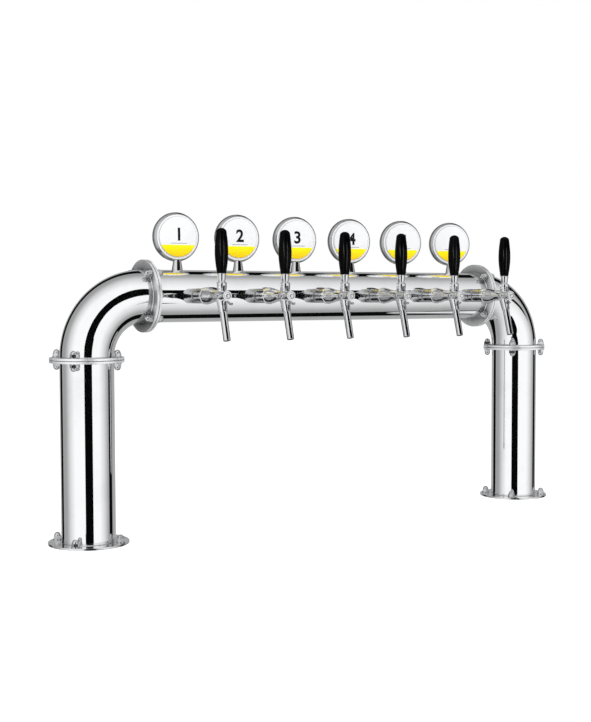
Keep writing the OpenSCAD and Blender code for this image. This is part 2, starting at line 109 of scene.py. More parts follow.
@dataclass(frozen=True)
class TowerSizes:
    """Sizes that several sub-assemblies share, in millimetres.

    Args:
        pipe_r: outside radius of the pipe.
        bore_r: inside radius of the pipe.
        leg_x: distance of each leg's axis from the middle.
        axis_z: height of the crossbar's axis.
        bend_r: radius of the elbows on the pipe's axis.
        tangent: straight pipe between a flange face and its bend.
        face_gap: half the gap that a gasket fills.
        flange_r: radius of a flange.
        flange_t: thickness of a flange.
        flange_bolts_r: radius of a flange's bolt circle.
        base_r: radius of a base plate.
        base_t: thickness of a base plate.
        base_bolts_r: radius of a base plate's bolt circle.
        taps: how many taps and signs stand in the row.
        pitch: distance between neighbouring taps.
        reach: distance from the crossbar's axis to the handles' axis.
    """

    pipe_r: float = 50.8
    bore_r: float = 48.8
    leg_x: float = 530.0
    axis_z: float = 465.0
    bend_r: float = 115.0
    tangent: float = 4.0
    face_gap: float = 0.4
    flange_r: float = 70.0
    flange_t: float = 4.6
    flange_bolts_r: float = 61.0
    base_r: float = 76.0
    base_t: float = 4.0
    base_bolts_r: float = 63.5
    taps: int = 6
    pitch: float = 136.0
    reach: float = 180.0

    @property
    def joint_z(self) -> float:
        """Height of the joint between a leg and its elbow."""
        return self.axis_z - self.bend_r - self.tangent

    @property
    def joint_x(self) -> float:
        """Distance from the middle to the joint between an elbow and the crossbar."""
        return self.leg_x - self.bend_r - self.tangent

    @property
    def row(self) -> range:
        """The numbers of the taps and signs, from the left."""
        return range(1, self.taps + 1)

    def tap_x(self, number: int) -> float:
        """Place of a tap along the crossbar."""
        return (number - (self.taps + 1) / 2) * self.pitch


SIZES = TowerSizes()


# ------------------------------------------------------------------ node graphs


class Graph:
    """Adds and joins the nodes of one node tree."""

    def __init__(self, tree: Tree) -> None:
        """Keeps the tree and starts a simple left-to-right layout."""
        self.tree = tree
        self.column = 0

    def node(self, kind: str, feeds: dict | None = None, **settings: object) -> Node:
        """Adds a node.

        Args:
            kind: Blender's identifier of the node.
            feeds: a socket or a constant for each input, by the input's name or index.
            settings: properties to set on it.

        Returns:
            The new node.
        """
        made = self.tree.nodes.new(kind)
        made.location = (self.column * 180, -(self.column % 3) * 160)
        self.column += 1
        for name, value in settings.items():
            setattr(made, name, value)
        for key, value in (feeds or {}).items():
            self.feed(made.inputs[key], value)
        return made

    def feed(self, target: Socket, value: object) -> None:
        """Links value to target if it is a socket, or else sets it as a constant."""
        if isinstance(value, Socket):
            self.tree.links.new(value, target)
        else:
            target.default_value = value

    def math(self, operation: str, *values: object) -> Socket:
        """The result of arithmetic on up to three sockets or numbers."""
        return self.node("ShaderNodeMath", dict(enumerate(values)), operation=operation).outputs[0]

    def span(
        self, value: Socket, low: float, high: float, to_low: float = 0.0, to_high: float = 1.0
    ) -> Socket:
        """Maps low..high to to_low..to_high, held within those ends."""
        feeds = dict(enumerate((value, low, high, to_low, to_high)))
        return self.node("ShaderNodeMapRange", feeds, clamp=True).outputs[0]

    def noise(
        self, vector: Socket, scale: float, detail: float = 2.0, rough: float = 0.5
    ) -> Socket:
        """The value of a noise texture on a vector."""
        feeds = {"Scale": scale, "Detail": detail, "Roughness": rough, "Vector": vector}
        return self.node("ShaderNodeTexNoise", feeds).outputs[0]

    def stretch(self, vector: Socket, scale: Triple) -> Socket:
        """A pattern's coordinates, scaled each way by its own number."""
        return self.node("ShaderNodeMapping", {"Scale": scale, "Vector": vector}).outputs[0]

    def mix(self, share: object, first: object, second: object) -> Socket:
        """Mixes two colours by a share between 0 and 1."""
        feeds = {0: share, 6: first, 7: second}
        return self.node("ShaderNodeMix", feeds, data_type="RGBA").outputs[2]

    def group(self, tree: Tree, vector: Socket) -> bpy.types.NodeOutputs:
        """The outputs of a shared group that works on a vector."""
        return self.node("ShaderNodeGroup", {0: vector}, node_tree=tree).outputs


def rgba(red: float, green: float, blue: float) -> tuple[float, float, float, float]:
    """A linear colour as Blender's sockets take it."""
    return (red, green, blue, 1.0)


def new_group(
    kind: str, name: str, inputs: dict[str, str], outputs: dict[str, str]
) -> tuple[Graph, Node, Node]:
    """Starts a node group.

    Args:
        kind: Shader or Geometry.
        name: the group's name.
        inputs: type of each input by its name.
        outputs: type of each output by its name.

    Returns:
        Its graph, its input node and its output node.
    """
    tree = bpy.data.node_groups.new(name, f"{kind}NodeTree")
    for way, sockets in (("INPUT", inputs), ("OUTPUT", outputs)):
        for label, form in sockets.items():
            tree.interface.new_socket(label, in_out=way, socket_type=f"NodeSocket{form}")
    graph = Graph(tree)
    return graph, graph.node("NodeGroupInput"), graph.node("NodeGroupOutput")


def new_material(name: str) -> tuple[Material, Graph]:
    """An empty material and its graph."""
    made = bpy.data.materials.new(name)
    made.use_nodes = True
    made.node_tree.nodes.clear()
    return made, Graph(made.node_tree)


def surface(g: Graph, feeds: dict[str, object]) -> None:
    """Ends a material with a Principled shader that is fed by input name."""
    shader = g.node("ShaderNodeBsdfPrincipled", feeds)
    g.node("ShaderNodeOutputMaterial", {0: shader.outputs[0]})


class Effects:
    """Shader groups that several finishes share, each built once."""

    def __init__(self) -> None:
        """Builds both groups."""
        self.handling = self._handling()
        self.lines = self._lines()

    @staticmethod
    def _handling() -> Tree:
        """Marks that hands and cloths leave: cloudy smudges, hairlines and dust.

        Returns:
            A group from Vector to the masks Smudge, Hairline and Dust.
        """
        masks = dict.fromkeys(("Smudge", "Hairline", "Dust"), "Float")
        g, start, end = new_group("Shader", "handling_marks", {"Vector": "Vector"}, masks)
        place = start.outputs[0]
        across = g.noise(g.stretch(place, (34.0, 900.0, 420.0)), 1.0)
        patch = g.span(g.noise(place, 31.0), 0.5, 0.62)
        g.feed(end.inputs[0], g.span(g.noise(place, 14.0, 4.0, 0.6), 0.48, 0.72))
        g.feed(end.inputs[1], g.math("MULTIPLY", g.span(across, 0.68, 0.72), patch))
        g.feed(end.inputs[2], g.span(g.noise(place, 900.0, 1.0), 0.73, 0.78))
        return g.tree

    @staticmethod
    def _lines() -> Tree:
        """Fine lines that run round a turned or drawn piece.

        Returns:
            A group from Vector, which is the lay attribute, to Height and Tone.
        """
        values = {"Height": "Float", "Tone": "Float"}
        g, start, end = new_group("Shader", "round_lines", {"Vector": "Vector"}, values)
        fine = g.noise(g.stretch(start.outputs[0], (6.0, 6.0, 2600.0)), 1.0, 3.0, 0.65)
        broad = g.noise(g.stretch(start.outputs[0], (3.0, 3.0, 260.0)), 1.0)
        height = g.math("MULTIPLY_ADD", fine, 0.7, g.math("MULTIPLY", broad, 0.3))
        g.feed(end.inputs[0], height)
        g.feed(end.inputs[1], broad)
        return g.tree


# ------------------------------------------------------------------ finishes


@dataclass(frozen=True)
class Finish:
    """What every finish has: a name and a way to make its material.

    Args:
        name: the material's name.
    """

    name: str

    def make(self, effects: Effects) -> Material:
        """Builds the material with the shared groups."""
        made, g = new_material(self.name)
        place = g.node("ShaderNodeTexCoord").outputs["Object"]
        surface(g, self.dress(g, effects, place, g.group(effects.handling, place)))
        return made

    def dress(
        self, g: Graph, effects: Effects, place: Socket, marks: bpy.types.NodeOutputs
    ) -> dict[str, object]:
        """What to feed to the shader.

        Args:
            g: the material's graph.
            effects: the shared groups.
            place: the object's own coordinates in metres.
            marks: the masks of the handling group.

        Returns:
            A socket or a constant for each input of the shader that it sets.
        """
        raise NotImplementedError

    @staticmethod
    def bump(g: Graph, height: Socket, depth: float, strength: float = 1.0) -> Socket:
        """The normal of a height of 0 to 1 that is depth metres deep."""
        feeds = {"Distance": depth, "Strength": strength, "Height": height}
        return g.node("ShaderNodeBump", feeds).outputs[0]


@dataclass(frozen=True)
class MetalFinish(Finish):
    """Bare or plated metal.

    Args:
        tint: linear colour of clean metal.
        dull: linear colour where it is handled most.
        smooth: roughness of clean metal.
        worn: roughness where it is handled most.
        lay: which way its fine lines run.
        line_depth: depth of those lines in metres.
        ripple: depth in metres of the slow waves that polishing leaves on a casting.
        ripple_cells: how many of those waves there are in a metre.
        metal: share of mirror-like metal; a ground face scatters the rest.
        corner: how far in metres from a wall beside it the colour is darkened as painted shade, or
            0 for no such effect.
    """

    tint: Triple
    dull: Triple
    smooth: float
    worn: float
    lay: Lay = Lay.PLATED
    line_depth: float = 0.0
    ripple: float = 0.00002
    ripple_cells: float = 60.0
    metal: float = 1.0
    corner: float = 0.0

    def dress(
        self, g: Graph, effects: Effects, place: Socket, marks: bpy.types.NodeOutputs
    ) -> dict[str, object]:
        """Metal with smudges, hairlines and, where it was turned or drawn, its lines; where corner
        is set, painted shade darkens it beside walls.
        """
        tone = marks["Smudge"]
        rough = g.span(tone, 0.0, 1.0, self.smooth, self.worn)
        rough = g.math("MULTIPLY_ADD", marks["Hairline"], self.worn, rough)
        if self.lay is Lay.PLATED:
            normal = self.bump(g, g.noise(place, self.ripple_cells, 1.0), self.ripple)
        else:
            source = g.node("ShaderNodeAttribute", attribute_name=LAY)
            lines = g.group(effects.lines, source.outputs["Vector"])
            normal = self.bump(g, lines["Height"], self.line_depth)
            if self.lay is Lay.FACED:
                tone = lines["Tone"]
                rough = g.math("MULTIPLY_ADD", tone, 0.12, rough)
        skin = g.mix(tone, rgba(*self.tint), rgba(*self.dull))
        # Painted shade: the colour is darkened towards dark grey where ambient occlusion finds a
        # wall within corner metres, as round the pipe on a flange face.
        if self.corner:
            near = g.node("ShaderNodeAmbientOcclusion", {"Distance": self.corner}, samples=8)
            open_sky = g.span(near.outputs["AO"], 0.5, 0.99)
            skin = g.mix(open_sky, rgba(0.13, 0.13, 0.135), skin)
        return {
            "Metallic": self.metal, "Roughness": rough, "Base Color": skin, "Normal": normal
        }


@dataclass(frozen=True)
class MouldedFinish(Finish):
    """Moulded plastic, rubber or lacquer.

    Args:
        colour: its linear colour.
        faded: its linear colour where it is worn or dusty.
        smooth: roughness where clean.
        worn: roughness where worn.
        coat: weight of a clear gloss layer.
        grain: cells of surface grain in a metre.
        grain_depth: depth of the grain in metres.
        through: share of light that passes into the material and out again.
        specular: strength of its surface reflection.
    """

    colour: Triple
    faded: Triple
    smooth: float
    worn: float
    coat: float = 0.0
    grain: float = 700.0
    grain_depth: float = 0.00003
    through: float = 0.0
    specular: float = 0.5

    def dress(
        self, g: Graph, effects: Effects, place: Socket, marks: bpy.types.NodeOutputs
    ) -> dict[str, object]:
        """A coloured body with handling marks, dust and a moulded grain."""
        worn = g.math("MAXIMUM", marks["Smudge"], marks["Hairline"])
        share = g.math("MULTIPLY_ADD", marks["Dust"], 0.5, g.math("MULTIPLY", worn, 0.5))
        return {
            "Coat Weight": self.coat,
            "Coat Roughness": 0.04,
            "Subsurface Weight": self.through,
            "Subsurface Scale": 0.002,
            "Specular IOR Level": self.specular,
            "Roughness": g.span(worn, 0.0, 1.0, self.smooth, self.worn),
            "Base Color": g.mix(share, rgba(*self.colour), rgba(*self.faded)),
            "Normal": self.bump(g, g.noise(place, self.grain), self.grain_depth, 0.4),
        }


@dataclass(frozen=True)
class SignFinish(Finish):
    """Opal sign lens with a printed band along its foot.

    Args:
        opal: linear colour of the bare lens.
        bright: linear colour of the band's upper part.
        deep: linear colour of the band's foot.
        band_top: height of the band's top in the lens's own UV map.
        band_low: height at which it reaches its deepest colour.
        edge: radius of the lens's raised face in the UV map.
    """

    opal: Triple = (0.77, 0.773, 0.78)
    bright: Triple = (0.95, 0.84, 0.0)
    deep: Triple = (0.90, 0.60, 0.0)
    band_top: float = 0.335
    band_low: float = 0.13
    edge: float = 0.407

    def dress(
        self, g: Graph, effects: Effects, place: Socket, marks: bpy.types.NodeOutputs
    ) -> dict[str, object]:
        """White opal, a yellow band that deepens downwards in printed rows, a thin grey ring of
        painted shade at the foot of the raised face, and a soft glow.
        """
        spot = g.node("ShaderNodeUVMap", uv_map="face").outputs[0]
        parts = g.node("ShaderNodeSeparateXYZ", {0: spot}).outputs
        height = parts[1]
        ways = [g.math("SUBTRACT", way, 0.5) for way in parts[:2]]
        radius = g.math("SQRT", g.math("ADD", *[g.math("MULTIPLY", way, way) for way in ways]))
        inside = g.math("LESS_THAN", radius, self.edge)
        band = g.math("MULTIPLY", g.math("LESS_THAN", height, self.band_top), inside)
        # Painted shade: a thin blue-grey ring at the foot of the raised face, where it steps down
        # to the rim.
        line = g.math("COMPARE", radius, self.edge + 0.004, 0.005)
        rows = g.math("SINE", g.math("MULTIPLY", height, 420.0))
        depth = g.span(height, self.band_low, self.band_top, 1.0, 0.0)
        depth = g.span(g.math("MULTIPLY_ADD", rows, 0.10, depth), 0.0, 1.0)
        ink = g.mix(depth, rgba(*self.bright), rgba(*self.deep))
        smudge = marks["Smudge"]
        opal = g.mix(smudge, rgba(*self.opal), rgba(*[c * 0.96 for c in self.opal]))
        share = g.math("MULTIPLY", line, 0.5)
        skin = g.mix(share, g.mix(band, opal, ink), rgba(0.30, 0.32, 0.36))
        return {
            "Base Color": skin,
            "Emission Color": skin,
            "Emission Strength": 0.06,
            "Specular IOR Level": 0.22,
            "Roughness": g.span(smudge, 0.0, 1.0, 0.22, 0.34),
            "Normal": self.bump(g, g.noise(place, 500.0), 0.00002, 0.3),
        }


WORN_CHROME = (0.66, 0.665, 0.675)
FINISHES: dict[str, Finish] = {
    "pipe": MetalFinish(
        "polished_tube", (0.93, 0.935, 0.94), (0.86, 0.865, 0.87), 0.035, 0.085,
        Lay.POLISHED, 0.0000012,
    ),
    # The faced flange gets painted shade beside the pipe through corner.
    "faced": MetalFinish(
        "faced_flange", (0.90, 0.902, 0.906), (0.76, 0.762, 0.766), 0.22, 0.30,
        Lay.FACED, 0.000006, metal=0.60, corner=0.03,
    ),
    "base": MetalFinish(
        "polished_base", (0.86, 0.862, 0.868), (0.66, 0.662, 0.67), 0.11, 0.19,
        Lay.FACED, 0.000003,
    ),
    "weld": MetalFinish(
        "polished_weld", (0.80, 0.80, 0.81), (0.66, 0.66, 0.67), 0.10, 0.22,
        Lay.FACED, 0.00002,
    ),
    "chrome": MetalFinish(
        "bright_chrome", (0.74, 0.745, 0.755), WORN_CHROME, 0.06, 0.14, ripple=0.00003
    ),
    "cast": MetalFinish(
        "cast_chrome", (0.82, 0.825, 0.835), WORN_CHROME, 0.17, 0.27,
        ripple=0.0005, ripple_cells=95.0,
    ),
    "cap": MetalFinish(
        "satin_cap", (0.88, 0.885, 0.89), (0.78, 0.785, 0.79), 0.27, 0.35, ripple=0.00003
    ),
    "turned": MetalFinish(
        "turned_ring", (0.50, 0.503, 0.51), (0.40, 0.403, 0.41), 0.12, 0.22,
        ripple=0.0005, ripple_cells=110.0,
    ),
    "drum": MetalFinish(
        "drum_chrome", (0.62, 0.625, 0.63), (0.53, 0.535, 0.54), 0.20, 0.28, ripple=0.00005
    ),
    "screw": MetalFinish(
        "stainless_screw", (0.66, 0.665, 0.67), (0.52, 0.525, 0.53), 0.22, 0.32,
        ripple=0.00004,
    ),
    "grip": MouldedFinish(
        "black_gloss", (0.0006, 0.0006, 0.0007), (0.0025, 0.0025, 0.003), 0.10, 0.18,
        grain=240.0, grain_depth=0.00001, specular=0.045,
    ),
    "rubber": MouldedFinish(
        "gasket_rubber", (0.02, 0.02, 0.021), (0.06, 0.06, 0.062), 0.6, 0.75,
        grain=1200.0, grain_depth=0.0001,
    ),
    "seal": MouldedFinish(
        "seal_white", (0.80, 0.80, 0.78), (0.70, 0.70, 0.67), 0.32, 0.45, grain=900.0
    ),
    "hose": MouldedFinish(
        "milky_hose", (0.70, 0.73, 0.73), (0.60, 0.62, 0.61), 0.28, 0.42, 0.1,
        grain=300.0, through=0.2,
    ),
    "coupler": MouldedFinish(
        "coupler_grey", (0.035, 0.036, 0.04), (0.09, 0.09, 0.095), 0.38, 0.55, grain=1500.0
    ),
    "cable": MouldedFinish(
        "cable_sheath", (0.012, 0.012, 0.013), (0.05, 0.05, 0.05), 0.5, 0.66, grain=1400.0
    ),
    "board": MouldedFinish(
        "board_lacquer", (0.012, 0.10, 0.04), (0.03, 0.15, 0.07), 0.18, 0.3, 0.3, 500.0
    ),
    "ink": MouldedFinish(
        "printed_black", (0.004, 0.004, 0.004), (0.016, 0.016, 0.016), 0.40, 0.55,
        grain=2200.0, specular=0.2,
    ),
    "ink_grey": MouldedFinish(
        "printed_grey", (0.16, 0.16, 0.165), (0.22, 0.22, 0.22), 0.35, 0.5, grain=2200.0
    ),
    "lens": SignFinish("opal_lens"),
}

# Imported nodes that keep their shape, with the finish of each.
KEPT = {
    "flange_gaskets": "rubber",
    "flange_studs": "screw",
    "shank_locknuts": "screw",
    "sign_nuts": "screw",
    "shanks": "chrome",
    "tap_seals": "seal",
    "sign_stems": "chrome",
    "light_boards": "board",
    "left_product_lines": "hose",
    "right_product_lines": "hose",
    "line_couplers": "coupler",
    "light_cable": "cable",
    **{f"spout_{number}": "chrome" for number in SIZES.row},
}


# ------------------------------------------------------------------ shapes


@dataclass(frozen=True)
class Ring:
    """One circle of a turned or swept surface.

    Args:
        centre: its centre.
        side: unit vector from the centre at angle zero.
        up: unit vector from the centre at a quarter turn.
        radius: its radius; zero makes a pole.
        paint: index of the material of the strip that starts here.
    """

    centre: Vector
    side: Vector
    up: Vector
    radius: float
    paint: int = 0


def at(x: float, y: float, z: float) -> Matrix:
    """A frame at a place in millimetres."""
    return Matrix.Translation((x, y, z))


def spun(degrees: float, axis: str) -> Matrix:
    """A frame that is turned about an axis."""
    return Matrix.Rotation(math.radians(degrees), 4, axis)


def arc(
    centre: Point, radius: float, start: float, step: float, count: int, rise: float | None = None
) -> list[Point]:
    """Points of a circle or an upright ellipse.

    Args:
        centre: its centre.
        radius: its radius.
        start: angle of the first point in degrees.
        step: degrees from one point to the next.
        count: how many points there are.
        rise: its radius along the second axis, if that is another.

    Returns:
        The points in order.
    """
    (x, y), tall = centre, radius if rise is None else rise
    angles = (math.radians(start + step * k) for k in range(count))
    return [(x + radius * math.cos(a), y + tall * math.sin(a)) for a in angles]


def rounded(
    points: Sequence[Point], radius: float, steps: int = 3, closed: bool = False
) -> list[Point]:
    """Rounds the corners of an outline.

    Args:
        points: the outline's corners.
        radius: radius of the rounding, less where a side is short.
        steps: how many pieces each rounding has.
        closed: whether the last corner joins the first.

    Returns:
        The outline with an arc at each corner.
    """
    made: list[Point] = []
    count = len(points)
    for index, point in enumerate(points):
        if not closed and index in (0, count - 1):
            made.append(point)
            continue
        here = Vector(point)
        before, after = Vector(points[index - 1]), Vector(points[(index + 1) % count])
        reach = min(radius, (before - here).length * 0.45, (after - here).length * 0.45)
        start = here + (before - here).normalized() * reach
        stop = here + (after - here).normalized() * reach
        for step in range(steps + 1):
            t = step / steps
            spot = start * (1 - t) ** 2 + here * 2 * t * (1 - t) + stop * t**2
            made.append((spot.x, spot.y))
    return made


def skinned(
    rows: Sequence[Sequence[Sequence[float]]],
    loop: bool = False,
    capped: bool = False,
    paints: Sequence[int] | None = None,
    lays: Sequence[Sequence[Triple]] | None = None,
) -> Mesh:
    """Joins rows of points into one closed surface.

    Args:
        rows: the points of each row in millimetres; a row of one point is a pole.
        loop: whether the last row joins the first, as round a tube's wall.
        capped: whether the first and the last row are filled.
        paints: material index of the strip after each row.
        lays: the lay attribute of each point.

    Returns:
        A mesh in metres whose faces point outwards.
    """
    bm = bmesh.new()
    layer = bm.verts.layers.float_vector.new(LAY) if lays else None
    verts = [[bm.verts.new(Vector(point) * MM) for point in row] for row in rows]
    for row, values in zip(verts, lays or ()):
        for vert, value in zip(row, values):
            vert[layer] = Vector(value)
    pairs = list(zip(range(len(rows) - 1), range(1, len(rows))))
    if loop:
        pairs.append((len(rows) - 1, 0))
    for first, second in pairs:
        low, high = verts[first], verts[second]
        count = max(len(low), len(high))
        for k in range(count):
            n = (k + 1) % count
            corners = dict.fromkeys(
                (low[k % len(low)], low[n % len(low)], high[n % len(high)], high[k % len(high)])
            )
            if len(corners) > 2:
                bm.faces.new(list(corners)).material_index = paints[first] if paints else 0
    if capped:
        bm.faces.new(verts[0])
        bm.faces.new(verts[-1])
    bmesh.ops.recalc_face_normals(bm, faces=bm.faces)
    return as_mesh(bm, "skin")


def as_mesh(bm: bmesh.types.BMesh, name: str) -> Mesh:
    """Turns a bmesh into a new mesh and frees it."""
    mesh = bpy.data.meshes.new(name)
    bm.to_mesh(mesh)
    bm.free()
    return mesh


def skin_rings(rings: Sequence[Ring], segments: int, loop: bool) -> Mesh:
    """Skins rings in order into one closed surface, and writes the lay attribute.

    Args:
        rings: the rings, in millimetres.
        segments: vertices round each ring.
        loop: whether the last ring joins the first.

    Returns:
        A mesh in metres whose faces point outwards.
    """
    rows, lays, run = [], [], 0.0
    for last, ring in zip([rings[0], *rings], rings):
        run += math.hypot((ring.centre - last.centre).length, ring.radius - last.radius)
        ways = arc((0, 0), 1, 0, 360 / segments, segments if ring.radius > 0 else 1)
        rows.append([ring.centre + (ring.side * x + ring.up * y) * ring.radius for x, y in ways])
        lays.append([(x, y, run * MM) for x, y in ways])
    return skinned(rows, loop, paints=[ring.paint for ring in rings], lays=lays)


def turned(
    outline: Sequence[Point],
    segments: int = 96,
    loop: bool = False,
    frame: Matrix | None = None,
    paint: Callable[[float, float], int] | None = None,
) -> Mesh:
    """Turns an outline of (radius, height) about the frame's Z.

    Args:
        outline: the outline in millimetres; it ends on the axis unless loop is set.
        segments: vertices round the axis.
        loop: whether the outline closes on itself.
        frame: where the axis stands, in millimetres.
        paint: gives the material index for (radius, height) of a strip's middle.

    Returns:
        The turned mesh in metres.
    """
    place = frame or Matrix.Identity(4)
    turn = place.to_3x3()
    side, up = turn @ Vector((1, 0, 0)), turn @ Vector((0, 1, 0))
    rings = []
    for (radius, height), after in zip(outline, [*outline[1:], outline[0]]):
        tone = paint((radius + after[0]) / 2, (height + after[1]) / 2) if paint else 0
        rings.append(Ring(place @ Vector((0, 0, height)), side, up, max(radius, 0.0), tone))
    return skin_rings(rings, segments, loop)


def hole(radius: float, low: float, high: float, frame: Matrix, segments: int = 48) -> Mesh:
    """A drill that runs from low to high along a frame's Z."""
    return turned([(0, low), (radius, low), (radius, high), (0, high)], segments, frame=frame)


def slot_drill(width: float, height: float, depth: float, frame: Matrix) -> Mesh:
    """A closed prism with round ends, to cut a slot with.

    Args:
        width: the slot's full width along the frame's X, in millimetres.
        height: its height along the frame's Y.
        depth: how far it runs along the frame's Z.
        frame: where it starts, in millimetres.

    Returns:
        The prism in metres.
    """
    radius, half = height / 2, (width - height) / 2
    rim = []
    for side in Side:
        rim += arc((side.value * half, 0), radius, -90 * side.value, 15, 13)
    rows = [[frame @ Vector((x, y, z)) for x, y in rim] for z in (0.0, depth)]
    return skinned(rows, capped=True)


def as_object(name: str, mesh: Mesh, *paints: Material) -> Object:
    """Puts a mesh in the scene with its materials."""
    mesh.name = name
    for index, paint in enumerate(paints):
        if index < len(mesh.materials):
            mesh.materials[index] = paint
        else:
            mesh.materials.append(paint)
    return linked(name, mesh)


def linked(name: str, data: bpy.types.ID) -> Object:
    """Puts a mesh, curve, lamp or camera in the scene."""
    made = bpy.data.objects.new(name, data)
    bpy.context.scene.collection.objects.link(made)
    return made


def plain_mesh(piece: Object) -> Mesh:
    """What a piece and its modifiers give, as a new mesh."""
    bpy.context.view_layer.update()
    graph = bpy.context.evaluated_depsgraph_get()
    return bpy.data.meshes.new_from_object(piece.evaluated_get(graph))


def applied(piece: Object) -> Object:
    """Turns what a piece's modifiers give into its own plain mesh."""
    mesh, old = plain_mesh(piece), piece.data
    piece.modifiers.clear()
    piece.data = mesh
    mesh.name = piece.name
    bpy.data.meshes.remove(old)
    return piece


def shaded(piece: Object, crease: float) -> None:
    """Smooth shading, with edges over crease degrees left sharp."""
    piece.data.shade_smooth()
    piece.data.set_sharp_from_angle(angle=math.radians(crease))


def settled(piece: Object, crease: float = 32.0) -> Object:
    """Gives a piece clean shading on a plain mesh without modifiers.

    Args:
        piece: the object to settle.
        crease: edges that turn more than this many degrees stay sharp.

    Returns:
        The same object.
    """
    shaded(piece, crease)
    weigh = piece.modifiers.new("even_normals", "WEIGHTED_NORMAL")
    weigh.keep_sharp = True
    weigh.weight = 80
    return applied(piece)


def joined(name: str, meshes: Iterable[Mesh]) -> Mesh:
    """Puts several meshes into one."""
    bm = bmesh.new()
    for mesh in meshes:
        bm.from_mesh(mesh)
    return as_mesh(bm, name)


def drilled(piece: Object, drills: Sequence[Mesh]) -> Object:
    """Cuts closed meshes out of a piece, and returns it."""
    tool = as_object("drill", joined("drill", drills))
    cut = piece.modifiers.new("holes", "BOOLEAN")
    cut.operation, cut.object, cut.solver = "DIFFERENCE", tool, "EXACT"
    applied(piece)
    bpy.data.objects.remove(tool)
    return piece


def drilled_mesh(mesh: Mesh, drills: Sequence[Mesh]) -> Mesh:
    """A mesh with closed meshes cut out of it."""
    piece = drilled(as_object("blank", mesh), drills)
    made = piece.data.copy()
    bpy.data.objects.remove(piece)
    return made


# ------------------------------------------------------------------ geometry node trees


